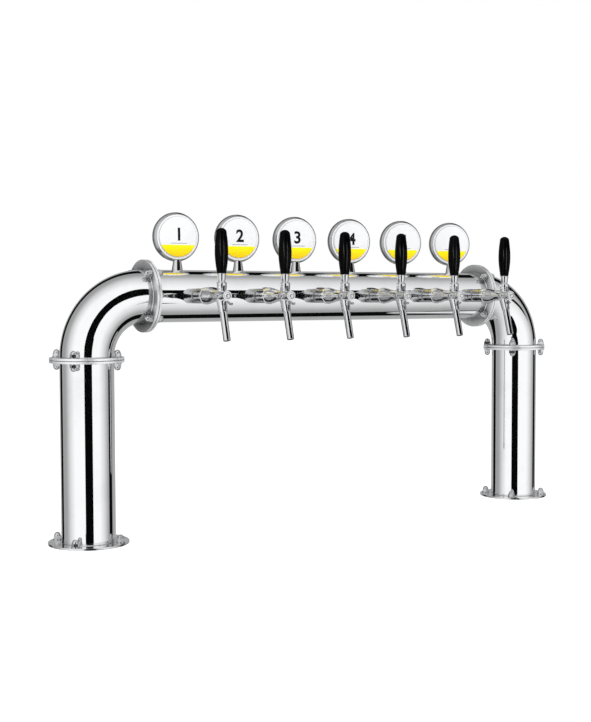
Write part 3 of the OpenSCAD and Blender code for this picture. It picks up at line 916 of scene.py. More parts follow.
class Repeats:
    """Geometry Nodes trees that repeat a piece over points or run a rod along a path."""

    def __init__(self) -> None:
        """Builds both trees."""
        self.setting = self._setting()
        self.rod = self._rod()

    @staticmethod
    def _tree(name: str, inputs: dict[str, str]) -> tuple[Graph, Node, Node]:
        """Starts a geometry tree with named inputs between its geometry and its finish."""
        geometry = {"Geometry": "Geometry"}
        return new_group("Geometry", name, {**geometry, **inputs, "Finish": "Material"}, geometry)

    @staticmethod
    def _ended(g: Graph, geometry: Socket, start: Node, end: Node) -> Tree:
        """Ends a tree with Realize Instances and Set Material, and returns it."""
        real = g.node("GeometryNodeRealizeInstances", {0: geometry})
        feeds = {"Geometry": real.outputs[0], "Material": start.outputs["Finish"]}
        g.feed(end.inputs[0], g.node("GeometryNodeSetMaterial", feeds).outputs[0])
        return g.tree

    def _setting(self) -> Tree:
        """Sets a part on every point, facing as the point's attribute says.

        Returns:
            A tree with the inputs Part, Lift, Spin, Seed and Finish.
        """
        inputs = {"Part": "Object", "Lift": "Float", "Spin": "Float", "Seed": "Int"}
        g, start, end = self._tree("set_on_points", inputs)
        given = start.outputs
        facing = g.node(
            "GeometryNodeInputNamedAttribute", {"Name": FACING}, data_type="FLOAT_VECTOR"
        )
        aim = g.node("FunctionNodeAlignRotationToVector", {"Vector": facing.outputs[0]}, axis="Z")
        draw = {3: given["Spin"], "Seed": given["Seed"]}
        spin = g.node("FunctionNodeRandomValue", draw, data_type="FLOAT")
        euler = g.node("ShaderNodeCombineXYZ", {2: spin.outputs[1]})
        turn = g.node("FunctionNodeEulerToRotation", {0: euler.outputs[0]})
        both = g.node(
            "FunctionNodeRotateRotation", {0: aim.outputs[0], 1: turn.outputs[0]},
            rotation_space="LOCAL",
        )
        part = g.node("GeometryNodeObjectInfo", {0: given["Part"]})
        place = g.node("GeometryNodeInstanceOnPoints", {
            "Points": given["Geometry"],
            "Instance": part.outputs["Geometry"],
            "Rotation": both.outputs[0],
        })
        rise = g.node("ShaderNodeCombineXYZ", {2: given["Lift"]})
        lift = g.node(
            "GeometryNodeTranslateInstances",
            {"Instances": place.outputs[0], "Translation": rise.outputs[0]},
        )
        return self._ended(g, lift.outputs[0], start, end)

    def _rod(self) -> Tree:
        """Runs a round rod along a chain of edges.

        Returns:
            A tree with the inputs Radius, Sides and Finish.
        """
        g, start, end = self._tree("rod_on_path", {"Radius": "Float", "Sides": "Int"})
        given = start.outputs
        path = g.node("GeometryNodeMeshToCurve", {0: given["Geometry"]})
        section = g.node(
            "GeometryNodeCurvePrimitiveCircle",
            {"Resolution": given["Sides"], "Radius": given["Radius"]},
        )
        skin = g.node("GeometryNodeCurveToMesh", {
            "Curve": path.outputs[0], "Profile Curve": section.outputs[0], "Fill Caps": True
        })
        return self._ended(g, skin.outputs[0], start, end)

    @staticmethod
    def _run(piece: Object, tree: Tree, values: dict[str, object]) -> None:
        """Puts a tree on a piece, sets its inputs by their identifiers and applies it."""
        modifier = piece.modifiers.new(tree.name, "NODES")
        modifier.node_group = tree
        for item in tree.interface.items_tree:
            if item.in_out == "INPUT" and item.name in values:
                modifier[item.identifier] = values[item.name]
        applied(piece)

    def on_points(
        self,
        name: str,
        part: Mesh,
        points: Sequence[Spot],
        finish: Material,
        spin: float = 0.0,
        lift: float = 0.0,
    ) -> Object:
        """Repeats a part over points.

        Args:
            name: the piece's name.
            part: the part's mesh, standing on Z.
            points: place and facing of each copy.
            finish: the material.
            spin: greatest random turn about the facing, in radians.
            lift: distance along the facing, in millimetres.

        Returns:
            One object that holds every copy as plain mesh.
        """
        template = as_object("template", part)
        cloud = bpy.data.meshes.new(name)
        cloud.from_pydata([spot * MM for spot, _ in points], [], [])
        facing = cloud.attributes.new(FACING, "FLOAT_VECTOR", "POINT")
        for item, (_, way) in zip(facing.data, points):
            item.vector = way
        piece = as_object(name, cloud, finish)
        values = {"Part": template, "Lift": lift * MM, "Spin": spin, "Seed": 7, "Finish": finish}
        self._run(piece, self.setting, values)
        bpy.data.objects.remove(template)
        return piece

    def along(
        self, path: Sequence[Vector], radius: float, finish: Material, sides: int = 28
    ) -> Mesh:
        """A round rod along a path.

        Args:
            path: its points in millimetres.
            radius: the rod's radius in millimetres.
            finish: the material.
            sides: vertices round the rod.

        Returns:
            The rod's mesh in metres.
        """
        chain = bpy.data.meshes.new("rod")
        edges = [(k, k + 1) for k in range(len(path) - 1)]
        chain.from_pydata([spot * MM for spot in path], edges, [])
        piece = as_object("rod", chain, finish)
        self._run(piece, self.rod, {"Radius": radius * MM, "Sides": sides, "Finish": finish})
        made = piece.data
        bpy.data.objects.remove(piece)
        return made


# ------------------------------------------------------------------ pieces


class Workshop:
    """What every sub-assembly needs to make and place its pieces."""

    def __init__(self, nodes: dict[str, Object]) -> None:
        """Makes the materials and node trees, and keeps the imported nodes."""
        effects = Effects()
        self.palette = {key: finish.make(effects) for key, finish in FINISHES.items()}
        self.repeats = Repeats()
        self.nodes = nodes

    def place(self, piece: Object, body: str, slot: str, *stands_for: str) -> Object:
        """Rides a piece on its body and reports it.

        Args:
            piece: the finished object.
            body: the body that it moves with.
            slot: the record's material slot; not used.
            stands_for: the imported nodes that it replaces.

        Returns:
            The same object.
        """
        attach(piece, body)
        if stands_for:
            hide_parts(*stands_for)
        log.info("%s: %d faces on %s", piece.name, len(piece.data.polygons), body)
        return piece

    def put(
        self, name: str, mesh: Mesh, key: str, body: str, slot: str, *stands_for: str,
        crease: float = 32.0,
    ) -> Object:
        """Makes a mesh into a piece of one finish, shades it and places it."""
        piece = settled(as_object(name, mesh, self.palette[key]), crease)
        return self.place(piece, body, slot, *stands_for)

    def dress(self, node: str, key: str) -> None:
        """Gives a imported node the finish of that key."""
        for slot in self.nodes[node].material_slots:
            slot.material = self.palette[key]
        log.info("%s: dressed in %s", node, key)


@dataclass
class Pipework:
    """Two legs, two elbows and the crossbar, each a drawn tube with welded flanges."""

    shop: Workshop
    segments: int = 144
    weld: float = 1.4
    edge: float = 0.5
    bend_steps: int = 40
    bore_steps: int = 24
    bolt_hole_r: float = 4.5
    shank_hole_r: float = 9.6
    stem_hole_r: float = 6.3

    def build(self) -> None:
        """Makes the five pipes."""
        for side in Side:
            self._leg(side)
            self._elbow(side)
        self._crossbar()

    def _plate(self, start: float, thick: float, radius: float, welded: int) -> list[Point]:
        """Outline of a flange on its pipe, from its first face to its second.

        Args:
            start: height of its first face.
            thick: its thickness.
            radius: its radius.
            welded: 1 if the pipe leaves its second face, -1 if its first.

        Returns:
            (radius, height) of the outline's points.
        """
        inner, foot, toe = SIZES.pipe_r, start + thick, SIZES.pipe_r + self.weld
        rim = rounded([(inner, start), (radius, start), (radius, foot), (inner, foot)], self.edge)
        if welded > 0:
            rim[-1] = (toe, foot)
            return rim[1:] + arc((toe, foot + self.weld), self.weld, 247.5, -22.5, 4)
        rim[0] = (toe, start)
        return arc((toe, start - self.weld), self.weld, 180, -22.5, 4) + rim[:-1]

    def _tube(self, low: float, high: float, thick: float, radius: float) -> list[Point]:
        """Outline of a tube from low to high; thick and radius are its lower plate's."""
        s = SIZES
        return (
            [(s.bore_r, low), (s.pipe_r, low)]
            + self._plate(low, thick, radius, 1)
            + self._plate(high - s.flange_t, s.flange_t, s.flange_r, -1)
            + [(s.bore_r, high)]
        )

    def _tone(self, radius: float, height: float) -> int:
        """Material index of a strip: 1 on a flange, 2 on a weld, 0 on the tube."""
        over = radius - SIZES.pipe_r
        if over > self.weld - 0.01:
            return 1
        return 2 if over > 0.02 else 0

    def _leg_tone(self, radius: float, height: float) -> int:
        """Material index of a leg's strip; 3 is its base plate."""
        tone = self._tone(radius, height)
        return 3 if tone == 1 and height <= SIZES.base_t else tone

    def _finish(self, node: str, mesh: Mesh, holes: list[Mesh]) -> None:
        """Drills, shades and places one pipe."""
        paints = [self.shop.palette[key] for key in ("pipe", "faced", "weld", "base")]
        piece = drilled(as_object(f"{node}_tube", mesh, *paints), holes)
        self.shop.place(settled(piece), "tower", "pipework", node)

    def _drills(self, frame: Matrix, circle: float, low: float, high: float) -> list[Mesh]:
        """Four drills on a bolt circle about a frame's Z."""
        spots = arc((0, 0), circle, 45, 90, 4)
        return [hole(self.bolt_hole_r, low, high, frame @ at(x, y, 0), 24) for x, y in spots]

    def _leg(self, side: Side) -> None:
        """One leg: base plate, tube and upper flange."""
        s = SIZES
        top = s.joint_z - s.face_gap
        frame = at(side.value * s.leg_x, 0, 0)
        outline = self._tube(0.0, top, s.base_t, s.base_r)
        mesh = turned(outline, self.segments, True, frame, self._leg_tone)
        holes = self._drills(frame, s.base_bolts_r, -1, s.base_t + 1)
        holes += self._drills(frame, s.flange_bolts_r, top - s.flange_t - 1, top + 1)
        self._finish(f"{side.word}_leg", mesh, holes)

    def _crossbar(self) -> None:
        """The crossbar with a flange at each end, and holes for the shanks and stems."""
        s = SIZES
        half = s.joint_x - s.face_gap
        frame = at(0, 0, s.axis_z) @ spun(90, "Y")
        outline = self._tube(-half, half, s.flange_t, s.flange_r)
        mesh = turned(outline, self.segments, True, frame, self._tone)
        holes = self._drills(frame, s.flange_bolts_r, -half - 1, s.flange_t - half + 1)
        holes += self._drills(frame, s.flange_bolts_r, half - s.flange_t - 1, half + 1)
        low, high = s.bore_r - 9, s.pipe_r + 5
        for number in s.row:
            up = at(s.tap_x(number), 0, s.axis_z)
            holes.append(hole(self.shank_hole_r, low, high, up @ spun(90, "X")))
            holes.append(hole(self.stem_hole_r, low, high, up))
        self._finish("crossbar", mesh, holes)

    def _elbow(self, side: Side) -> None:
        """One elbow: a right-angle bend between two flanges."""
        s, sign = SIZES, side.value
        start = Vector((sign * s.leg_x, 0, s.joint_z))
        stop = Vector((sign * s.joint_x, 0, s.axis_z))
        centre = Vector((sign * (s.leg_x - s.bend_r), 0, s.joint_z + s.tangent))
        across, rise, deep = Vector((sign, 0, 0)), Vector((0, 0, 1)), Vector((0, 1, 0))
        foot = [(s.pipe_r, s.face_gap)] + self._plate(s.face_gap, s.flange_t, s.flange_r, 1)

        def bent(angle: float, radius: float) -> Ring:
            """The ring at that angle of the bend."""
            way = across * math.cos(angle) + rise * math.sin(angle)
            return Ring(centre + way * s.bend_r, way, deep, radius)

        def flange(outline: list[Point], origin: Vector, axis: Vector, out: Vector) -> list[Ring]:
            """The rings of a flange with its face at origin."""
            after = [*outline[1:], outline[-1]]
            tones = [self._tone((a[0] + b[0]) / 2, 0) for a, b in zip(outline, after)]
            return [
                Ring(origin + axis * height, out, deep, radius, tone)
                for (radius, height), tone in zip(outline, tones)
            ]

        quarter = math.pi / 2
        first = math.atan2(foot[-1][1] - s.tangent, s.bend_r) + math.radians(1)
        step = (quarter - 2 * first) / self.bend_steps
        rings = flange(foot, start, rise, across)
        rings += [bent(first + step * k, s.pipe_r) for k in range(self.bend_steps + 1)]
        rings += flange(foot[::-1], stop, across, rise)
        rings += [Ring(stop + across * d, rise, deep, s.bore_r) for d in (s.face_gap, s.tangent)]
        inner = range(self.bore_steps - 1, 0, -1)
        rings += [bent(quarter * k / self.bore_steps, s.bore_r) for k in inner]
        rings += [Ring(start + rise * d, across, deep, s.bore_r) for d in (s.tangent, s.face_gap)]
        holes = []
        for frame in (at(*start), at(*stop) @ spun(90 * sign, "Y")):
            holes += self._drills(frame, s.flange_bolts_r, -1, s.face_gap + s.flange_t + 1)
        self._finish(f"{side.word}_elbow", skin_rings(rings, self.segments, True), holes)


@dataclass
class Fasteners:
    """Dome nuts and washers of the four joints and the two bases."""

    shop: Workshop
    washer_t: float = 1.4
    washer_r: float = 8.0
    washer_hole_r: float = 4.3
    flats: float = 13.0
    hex_h: float = 6.0
    chamfer: float = 0.45
    height: float = 13.0
    dome_r: float = 6.0
    bore: float = 9.5
    bore_r: float = 4.0

    def build(self) -> None:
        """Sets a washer and a nut on every bolt."""
        spots, shop = self._bolts(), self.shop
        steel = shop.palette["screw"]
        nuts = shop.repeats.on_points(
            "dome_nuts", self._nut(), spots, steel, math.radians(60), self.washer_t
        )
        shop.place(settled(nuts, 24), "tower", "fasteners", "cap_nuts")
        low, high, top = self.washer_hole_r, self.washer_r, self.washer_t
        ring = rounded([(low, 0), (high, 0), (high, top), (low, top)], 0.25, 2, closed=True)
        washers = shop.repeats.on_points("flat_washers", turned(ring, 48, True), spots, steel)
        shop.place(settled(washers), "tower", "fasteners", "washers")

    @staticmethod
    def _bolts() -> list[Spot]:
        """Place and facing of every bolt, on the outer face of its flange."""
        s = SIZES
        deep, rise, along = Vector((0, 1, 0)), Vector((0, 0, 1)), Vector((1, 0, 0))
        made = []
        for side in Side:
            x = side.value * s.leg_x
            joints = [
                (Vector((x, 0, s.joint_z)), along, rise),
                (Vector((side.value * s.joint_x, 0, s.axis_z)), rise, along),
            ]
            for c, d in arc((0, 0), 1, 45, 90, 4):
                for centre, first, axis in joints:
                    spot = centre + (first * c + deep * d) * s.flange_bolts_r
                    for sign in (-1, 1):
                        made.append((spot + axis * sign * (s.face_gap + s.flange_t), axis * sign))
                made.append((Vector((x, 0, s.base_t)) + Vector((c, d, 0)) * s.base_bolts_r, rise))
        return made

    def _nut(self) -> Mesh:
        """A hexagon nut with chamfered corners, a domed cap and a blind bore."""
        flat, count = self.flats / 2, 48
        step = 360 / count
        round_about = arc((0, 0), 1, 0, step, count)
        corner = [
            flat / math.cos(math.radians(k * step % 60 - 30)) for k in range(count)
        ]

        def row(height: float, limit: float, hexagon: bool = False) -> list[Triple]:
            """One row: a circle, or a hexagon cut back to a circle."""
            radii = [min(c, limit) if hexagon else limit for c in corner]
            return [(r * x, r * y, height) for r, (x, y) in zip(radii, round_about)]

        neck, low, wide = self.height - self.dome_r, flat + 0.25, flat * 1.16
        rows = [[(0, 0, self.bore)], row(self.bore, self.bore_r), row(0.0, self.bore_r)]
        rows += [
            row(height, limit, True)
            for height, limit in (
                (0.0, low), (self.chamfer, wide), (self.hex_h - self.chamfer, wide),
                (self.hex_h, low),
            )
        ]
        rows += [row(self.hex_h, self.dome_r + 0.3), row(self.hex_h + 0.3, self.dome_r)]
        rows.append(row(neck, self.dome_r))
        rows += [row(z, r) for r, z in arc((0, neck), self.dome_r, 7.5, 7.5, 11)]
        return skinned([*rows, [(0, 0, self.height)]])


@dataclass
class TapRow:
    """The fixed parts of the taps: collars, nuts, castings, caps and screws."""

    shop: Workshop
    collar_r: float = 14.2
    collar_bore_r: float = 9.4
    collar_end: float = 88.0
    nut_end: float = 116.4
    shoulder: float = 1.9
    lip_end: float = 92.0
    nose: float = 199.0
    screw_x: float = 12.2

    def build(self) -> None:
        """Makes what repeats along the row, then each tap's own casting."""
        s = SIZES
        front = Vector((0, -1, 0))
        fronts = [(Vector((s.tap_x(n), 0, s.axis_z)), front) for n in s.row]
        sides = [
            (Vector((s.tap_x(n), -s.reach, s.axis_z)), Vector((side.value, 0, 0)))
            for n in s.row
            for side in Side
        ]
        for name, mesh, spots, node, key in (
            ("collar_rings", self._collar(), fronts, "shank_collars", "turned"),
            ("coupling_rings", self._coupling(), fronts, "coupling_nuts", "turned"),
            ("nose_caps", self._cap(), fronts, "front_caps", "cap"),
            ("pivot_screws", self._screw(), sides, "trunnion_screws", "chrome"),
        ):
            piece = self.shop.repeats.on_points(name, mesh, spots, self.shop.palette[key])
            self.shop.place(settled(piece), "tower", "tap_chrome", node)
        for number in s.row:
            self._casting(number)

    def _spanner_drills(self, height: float, turn: float) -> list[Mesh]:
        """Four blind holes for a pin spanner."""
        radius, sunk = 1.9, 2.5
        base = at(self.collar_r - sunk, 0, height) @ spun(90, "Y")
        return [hole(radius, 0, 5, spun(turn + 90 * k, "Z") @ base, 24) for k in range(4)]

    def _collar(self) -> Mesh:
        """A long ring whose back fits the curve of the crossbar."""
        bore, rim, end = self.collar_bore_r, self.collar_r, self.collar_end
        start, fitted_z, parting_r = 40.0, 45.0, 11.0
        outline = rounded(
            [(bore, start), (rim, start), (rim, end), (bore, end)], self.shoulder, 5, closed=True
        )
        mesh = drilled_mesh(turned(outline, 96, True), self._spanner_drills(77, 13 - 90))
        for vert in mesh.vertices:
            if vert.co.z < fitted_z * MM:
                x, y = vert.co.x / MM, vert.co.y / MM
                radius = math.hypot(x, y)
                grow = (rim if radius > parting_r else bore) / radius
                x, y = x * grow, y * grow
                vert.co = Vector((x, y, math.sqrt(SIZES.pipe_r**2 - y * y))) * MM
        return mesh

    def _coupling(self) -> Mesh:
        """The nut that draws a tap to its shank."""
        r, low, high = self.collar_r, self.collar_end, self.nut_end
        neck, root, bore, thread_r = r - 1.7, low + 3.4, 9.5, 11.45
        outer = [
            (bore, low), (neck, low), (neck, root), (r, root + 1.2), (r, high), (thread_r, high)
        ]
        inner = [(thread_r, self.lip_end), (bore, self.lip_end)]
        outline = rounded(outer, 0.7, 4, closed=True) + inner
        return drilled_mesh(turned(outline, 96, True), self._spanner_drills(106, 30 - 90))

    def _cap(self) -> Mesh:
        """The domed plug that closes a tap's nose."""
        n, rim_r, plug_r, hollow_r = self.nose, 8.9, 8.1, 5.0
        rim = rounded([(plug_r, n), (rim_r, n), (rim_r, n + 3.1), (6.5, n + 3.1)], 0.4)
        dome = arc((0, n + 3.6), 6.4, 0, 7.5, 12, 4)
        plug = [(0, n - 1), (hollow_r, n - 1), (hollow_r, n - 8), (plug_r, n - 8)]
        return turned(plug + rim + dome + [(0, n + 7.6)], 72)

    def _screw(self) -> Mesh:
        """A pivot screw with a domed head and a hexagon socket."""
        base = self.screw_x
        outline = [(0, 4.6), (2.0, 4.6), (2.0, base), (3.6, base), (3.6, base + 0.7)]
        outline += arc((0, base - 2.6), 4.4, 46, 6, 5) + [(1.0, base + 1.68), (0, base + 1.7)]
        socket = hole(1.15, base + 0.7, base + 3, Matrix.Identity(4), 6)
        return drilled_mesh(turned(outline, 48), [socket])

    def _casting(self, number: int) -> None:
        """One tap's casting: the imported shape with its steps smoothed."""
        node = f"tap_body_{number}"
        mesh = self.shop.nodes[node].data.copy()
        bm = bmesh.new()
        bm.from_mesh(mesh)
        bmesh.ops.remove_doubles(bm, verts=bm.verts, dist=0.000002)
        bm.to_mesh(mesh)
        bm.free()
        for name in ("custom_normal", "sharp_edge"):
            if name in mesh.attributes:
                mesh.attributes.remove(mesh.attributes[name])
        piece = as_object(f"tap_casting_{number}", mesh, self.shop.palette["cast"])
        shaded(piece, 34)
        self.shop.place(piece, "tower", "tap_chrome", node)


@dataclass
class Handle:
    """One tap's moving handle: ball, sliding cap, ferrule and grip."""

    shop: Workshop
    number: int
    foot_r: float = 8.6
    head_r: float = 9.8
    widest_r: float = 12.5
    grip_len: float = 74.0
    dome_h: float = 8.0
    ferrule_top: float = 41.0
    stud_r: float = 4.0
    seat_r: float = 20.9
    ball_r: float = 7.95
    stem_r: float = 3.0
    neck_r: float = 9.5
    port_w: float = 7.2
    port_h: float = 3.8
    outlet_r: float = 3.0
    pocket_r: float = 2.06
    throw_deg: float = 32.0
    spout_lean: float = 15.0

    def build(self) -> Object:
        """Makes the lever and the grip on the handle's body, and returns the grip."""
        s, shop, number = SIZES, self.shop, self.number
        frame = at(s.tap_x(number), -s.reach, s.axis_z)
        body = f"handle_{number}"
        lever = as_object(f"lever_chrome_{number}", self._lever(frame), shop.palette["chrome"])
        for drills in self._ports(frame):
            drilled(lever, drills)
        shop.place(settled(lever), body, "tap_chrome", f"lever_{number}")
        grip = self._grip(frame)
        return shop.put(f"grip_black_{number}", grip, "grip", body, "grip", f"grip_{number}")

    def _ports(self, frame: Matrix) -> list[list[Mesh]]:
        """Drills of the ball, in two rounds because its two ways meet in the middle."""
        reach = self.ball_r + 1
        tipped = frame @ spun(-self.throw_deg, "X")
        first = [slot_drill(self.port_w, self.port_h, reach, tipped @ spun(-90, "X"))]
        for side in Side:
            first.append(hole(self.pocket_r, 4.0, reach, frame @ spun(90 * side.value, "Y"), 32))
        outlet = hole(self.outlet_r, 0, reach, tipped @ spun(180 - self.spout_lean, "X"))
        return [first, [outlet]]

    def _lever(self, frame: Matrix) -> Mesh:
        """Ball, stem, cap that slides over the casting's neck, and ferrule."""
        ball_r, stem_r, neck_r, seat_r = self.ball_r, self.stem_r, self.neck_r, self.seat_r
        top = self.ferrule_top
        join = math.sqrt(ball_r**2 - stem_r**2)
        ball = arc((0, 0), ball_r, -90, 6, 27)
        ball = [p for p in ball if p[1] < join - 0.3 or p[0] > stem_r] + [(stem_r, join)]
        start = 90 - math.degrees(math.asin(stem_r / seat_r))
        inner = arc((0, 0), seat_r, start, -math.degrees(0.04), 9)
        inner = [p for p in inner if p[0] < neck_r - 0.3]
        skirt = [(neck_r, math.sqrt(seat_r**2 - neck_r**2)), (neck_r, 22.6)]
        skirt += arc((neck_r - 2, 22.8), 2, 10, 10, 9)
        neck = rounded([(6.6, 25.2), (6.4, 25.6), (6.4, 27.0), (6.95, 27.5)], 0.2, 2)
        cone = rounded([(6.95, 27.5), (8.45, top - 1), (8.2, top), (self.stud_r, top)], 0.5)
        stud = [(self.stud_r, top + 14), (0, top + 14)]
        outline = [(0, -ball_r)] + ball[1:] + inner + skirt + neck + cone[1:] + stud
        return turned(outline, 96, frame=frame)

    def _grip(self, frame: Matrix) -> Mesh:
        """The moulded grip, a slim barrel with a domed head and a blind hole for the stud."""
        swell = self.widest_r - (self.foot_r + self.head_r) / 2
        base, hole_h, steps = self.ferrule_top, 14.5, 60
        outline = [
            (0, base + hole_h), (self.stud_r, base + hole_h), (self.stud_r, base),
            (self.foot_r - 0.6, base),
        ]
        for k in range(steps + 1):
            t = k / steps
            radius = self.foot_r + (self.head_r - self.foot_r) * t + swell * math.sin(math.pi * t)
            outline.append((radius, base + 0.6 + t * self.grip_len))
        top = base + 0.6 + self.grip_len
        outline += arc((0, top), self.head_r, 5, 5, 17, self.dome_h)
        return turned([*outline, (0, top + self.dome_h)], 96, frame=frame)


@dataclass
class FlowControl:
    """One tap's throttle spindle with its hub and hooked lever."""

    shop: Workshop
    number: int
    station: float = 150.0
    spindle_x: float = 15.4
    hub_t: float = 5.4
    rod_r: float = 2.1
    rod_len: float = 20.0
    hook_r: float = 3.0
    hook_deg: float = 110.0
    lean: float = 25.0
    forward: float = 38.0

    def build(self) -> None:
        """Makes the rod, its ball end and the hub as one piece on the flow body."""
        s, number = SIZES, self.number
        home = at(s.tap_x(number), -self.station, s.axis_z)
        frame = (
            home
            @ spun(-self.forward, "X")
            @ at(self.spindle_x + self.hub_t / 2, 0, 0)
            @ spun(180 - self.lean, "Y")
        )
        path = self._path()
        chrome = self.shop.palette["turned"]
        rod = self.shop.repeats.along([frame @ spot for spot in path], self.rod_r, chrome)
        ball_r = self.rod_r + 0.3
        ball = [(0, -ball_r), *arc((0, 0), ball_r, -80, 10, 17), (0, ball_r)]
        tip = turned(ball, 28, frame=frame @ Matrix.Translation(path[-1]))
        low, high = self.spindle_x, self.spindle_x + self.hub_t
        hub = rounded(
            [(3.4, -5), (3.4, low), (6.2, low), (6.2, high - 1.4), (4.8, high), (0, high)], 0.5, 4
        )
        blank = turned([(0, -5)] + hub, 64, frame=home @ spun(90, "Y"))
        wheel = drilled_mesh(blank, [hole(2.6, -6, 6, home @ spun(90, "X"), 40)])
        self.shop.put(
            f"flow_hook_{number}", joined("hook", [rod, tip, wheel]), "turned",
            f"flow_{number}", "tap_chrome", f"flow_lever_{number}",
        )

    def _path(self) -> list[Vector]:
        """The rod's centre line, from inside the hub to the end of its hook."""
        made = [Vector((0, 0, self.rod_len * k / 6)) for k in range(7)]
        step = self.hook_deg / 14
        hook = arc((-self.hook_r, self.rod_len), self.hook_r, step, step, 14)
        return made + [Vector((x, 0, z)) for x, z in hook]


@dataclass
class Signs:
    """The round lit signs: drums, opal lenses and printed numbers."""

    shop: Workshop
    drum_r: float = 48.0
    back: float = 16.0
    back_r: float = 5.0
    front: float = 4.0
    lens_r: float = 43.6
    cavity_r: float = 42.0
    face_r: float = 39.6
    nose_r: float = 3.0
    rise: float = 115.0
    first_turn: float = 3.0
    last_turn: float = 15.0
    wall: float = 2.0
    number_h: float = 34.0
    number_up: float = 3.5
    rule_down: float = 12.6
    print_step: float = 2.0
    print_t: float = 0.12

    def build(self) -> None:
        """Makes every sign."""
        shop = self.shop
        frames = {number: self._frame(number) for number in SIZES.row}
        for number, frame in frames.items():
            drum = turned(self._drum(), 128, frame=frame)
            node = f"sign_housing_{number}"
            shop.put(f"sign_drum_{number}", drum, "drum", "tower", "sign_chrome", node)
        lenses = joined("faces", [self._lens(frame) for frame in frames.values()])
        shop.put("sign_faces", lenses, "lens", "tower", "sign_face", "sign_lenses", crease=28)
        numbers = [
            self._laid(self._number(n), frame, self.number_up) for n, frame in frames.items()
        ]
        rules = [self._laid(self._rule(), frame, -self.rule_down) for frame in frames.values()]
        for name, key, prints in (
            ("sign_numbers", "ink", numbers), ("sign_rules", "ink_grey", rules)
        ):
            shop.put(name, joined(name, prints), key, "tower", "sign_face")

    def _frame(self, number: int) -> Matrix:
        """The frame of a sign's centre, with Z out of its face and Y up."""
        s = SIZES
        share = (number - 1) / (s.taps - 1)
        turn = self.first_turn + (self.last_turn - self.first_turn) * share
        return at(s.tap_x(number), 0, s.axis_z + self.rise) @ spun(-turn, "Z") @ spun(90, "X")

    def _drum(self) -> list[Point]:
        """Outline of a drum with a rounded back, a swelling side and a seat for the lens."""
        rim, cavity, start = self.lens_r, self.cavity_r, self.back_r - self.back
        steps = 32
        return (
            [(0, -self.back)]
            + arc((cavity, start), self.back_r, -90, 6, 16)
            + [
                (self.drum_r - 1 + math.sin(math.pi * k / steps), start * (1 - k / steps))
                for k in range(1, steps + 1)
            ]
            + [(rim + 0.9, self.front - 0.15), (rim + 0.6, self.front), (rim + 0.1, self.front)]
            + [(rim + 0.1, 0), (cavity, 0), (cavity, self.wall - self.back)]
            + [(0, self.wall - self.back)]
        )

    def _dome(self, radius: float) -> float:
        """Height of the lens's raised face over the sign's centre at a radius."""
        flat_r = self.face_r - self.nose_r
        return self.front + 2.8 + 3.2 * (1 - min(radius / flat_r, 1.0) ** 2)

    def _lens(self, frame: Matrix) -> Mesh:
        """The opal lens with its own flat UV map."""
        rim, flat_r, steps = self.front - 0.6, self.face_r - self.nose_r, 12
        outline = [(0, 2.0), (flat_r, 2.0), (flat_r, 0), (self.lens_r, 0)]
        outline += rounded([(self.lens_r, 0.2), (self.lens_r, rim), (self.face_r, rim)], 0.6)
        outline += arc((flat_r, rim + 0.4), self.nose_r, 0, 9, 11)
        for k in range(1, steps + 1):
            radius = flat_r * (1 - k / steps)
            outline.append((radius, self._dome(radius)))
        mesh = turned(outline, 96, frame=frame)
        back = frame.inverted()
        layer = mesh.uv_layers.new(name="face")
        for loop in mesh.loops:
            spot = back @ (mesh.vertices[loop.vertex_index].co / MM) / (2 * self.drum_r)
            layer.data[loop.index].uv = (0.5 + spot.x, 0.5 + spot.y)
        return mesh

    def _number(self, number: int) -> Mesh:
        """A sign's plain number as a thin flat print, cut so that it can follow the lens."""
        curve = bpy.data.curves.new("number", "FONT")
        curve.body = str(number)
        curve.size = self.number_h
        curve.align_x, curve.align_y = "CENTER", "CENTER"
        curve.extrude = self.print_t
        curve.offset = 0.9
        curve.resolution_u = 10
        text = linked("number", curve)
        mesh = plain_mesh(text)
        bpy.data.objects.remove(text)
        bm = bmesh.new()
        bm.from_mesh(mesh)
        bmesh.ops.remove_doubles(bm, verts=bm.verts, dist=0.001)
        half = int(self.number_h / 2 / self.print_step)
        for normal in (Vector((1, 0, 0)), Vector((0, 1, 0))):
            for k in range(-half, half + 1):
                whole = [*bm.verts, *bm.edges, *bm.faces]
                spot = normal * (k * self.print_step + 0.013)
                bmesh.ops.bisect_plane(
                    bm, geom=whole, plane_co=spot, plane_no=normal, dist=0.0001
                )
        bmesh.ops.triangulate(bm, faces=bm.faces)
        return as_mesh(bm, "number")

    def _rule(self) -> Mesh:
        """A thin flat rule, to stand under a number."""
        steps, half_w, half_h, deep = 24, 17.0, 0.45, self.print_t
        corners = ((-half_h, -deep), (half_h, -deep), (half_h, deep), (-half_h, deep))
        ways = [half_w * (2 * k / steps - 1) for k in range(steps + 1)]
        mesh = skinned([[(x, y, z) for y, z in corners] for x in ways], capped=True)
        mesh.transform(Matrix.Scale(1 / MM, 4))  # prints are laid in millimetres
        return mesh

    def _laid(self, mesh: Mesh, frame: Matrix, up: float) -> Mesh:
        """Lays a flat print on a lens.

        Args:
            mesh: the print about its own centre, in millimetres.
            frame: the sign's frame.
            up: how far above the lens's centre it lies.

        Returns:
            The print in the tower's frame, in metres.
        """
        for vert in mesh.vertices:
            x, y = vert.co.x, vert.co.y + up
            height = self._dome(math.hypot(x, y)) + vert.co.z + 0.05
            vert.co = (frame @ Vector((x, y, height))) * MM
        return mesh


# ------------------------------------------------------------------ studio


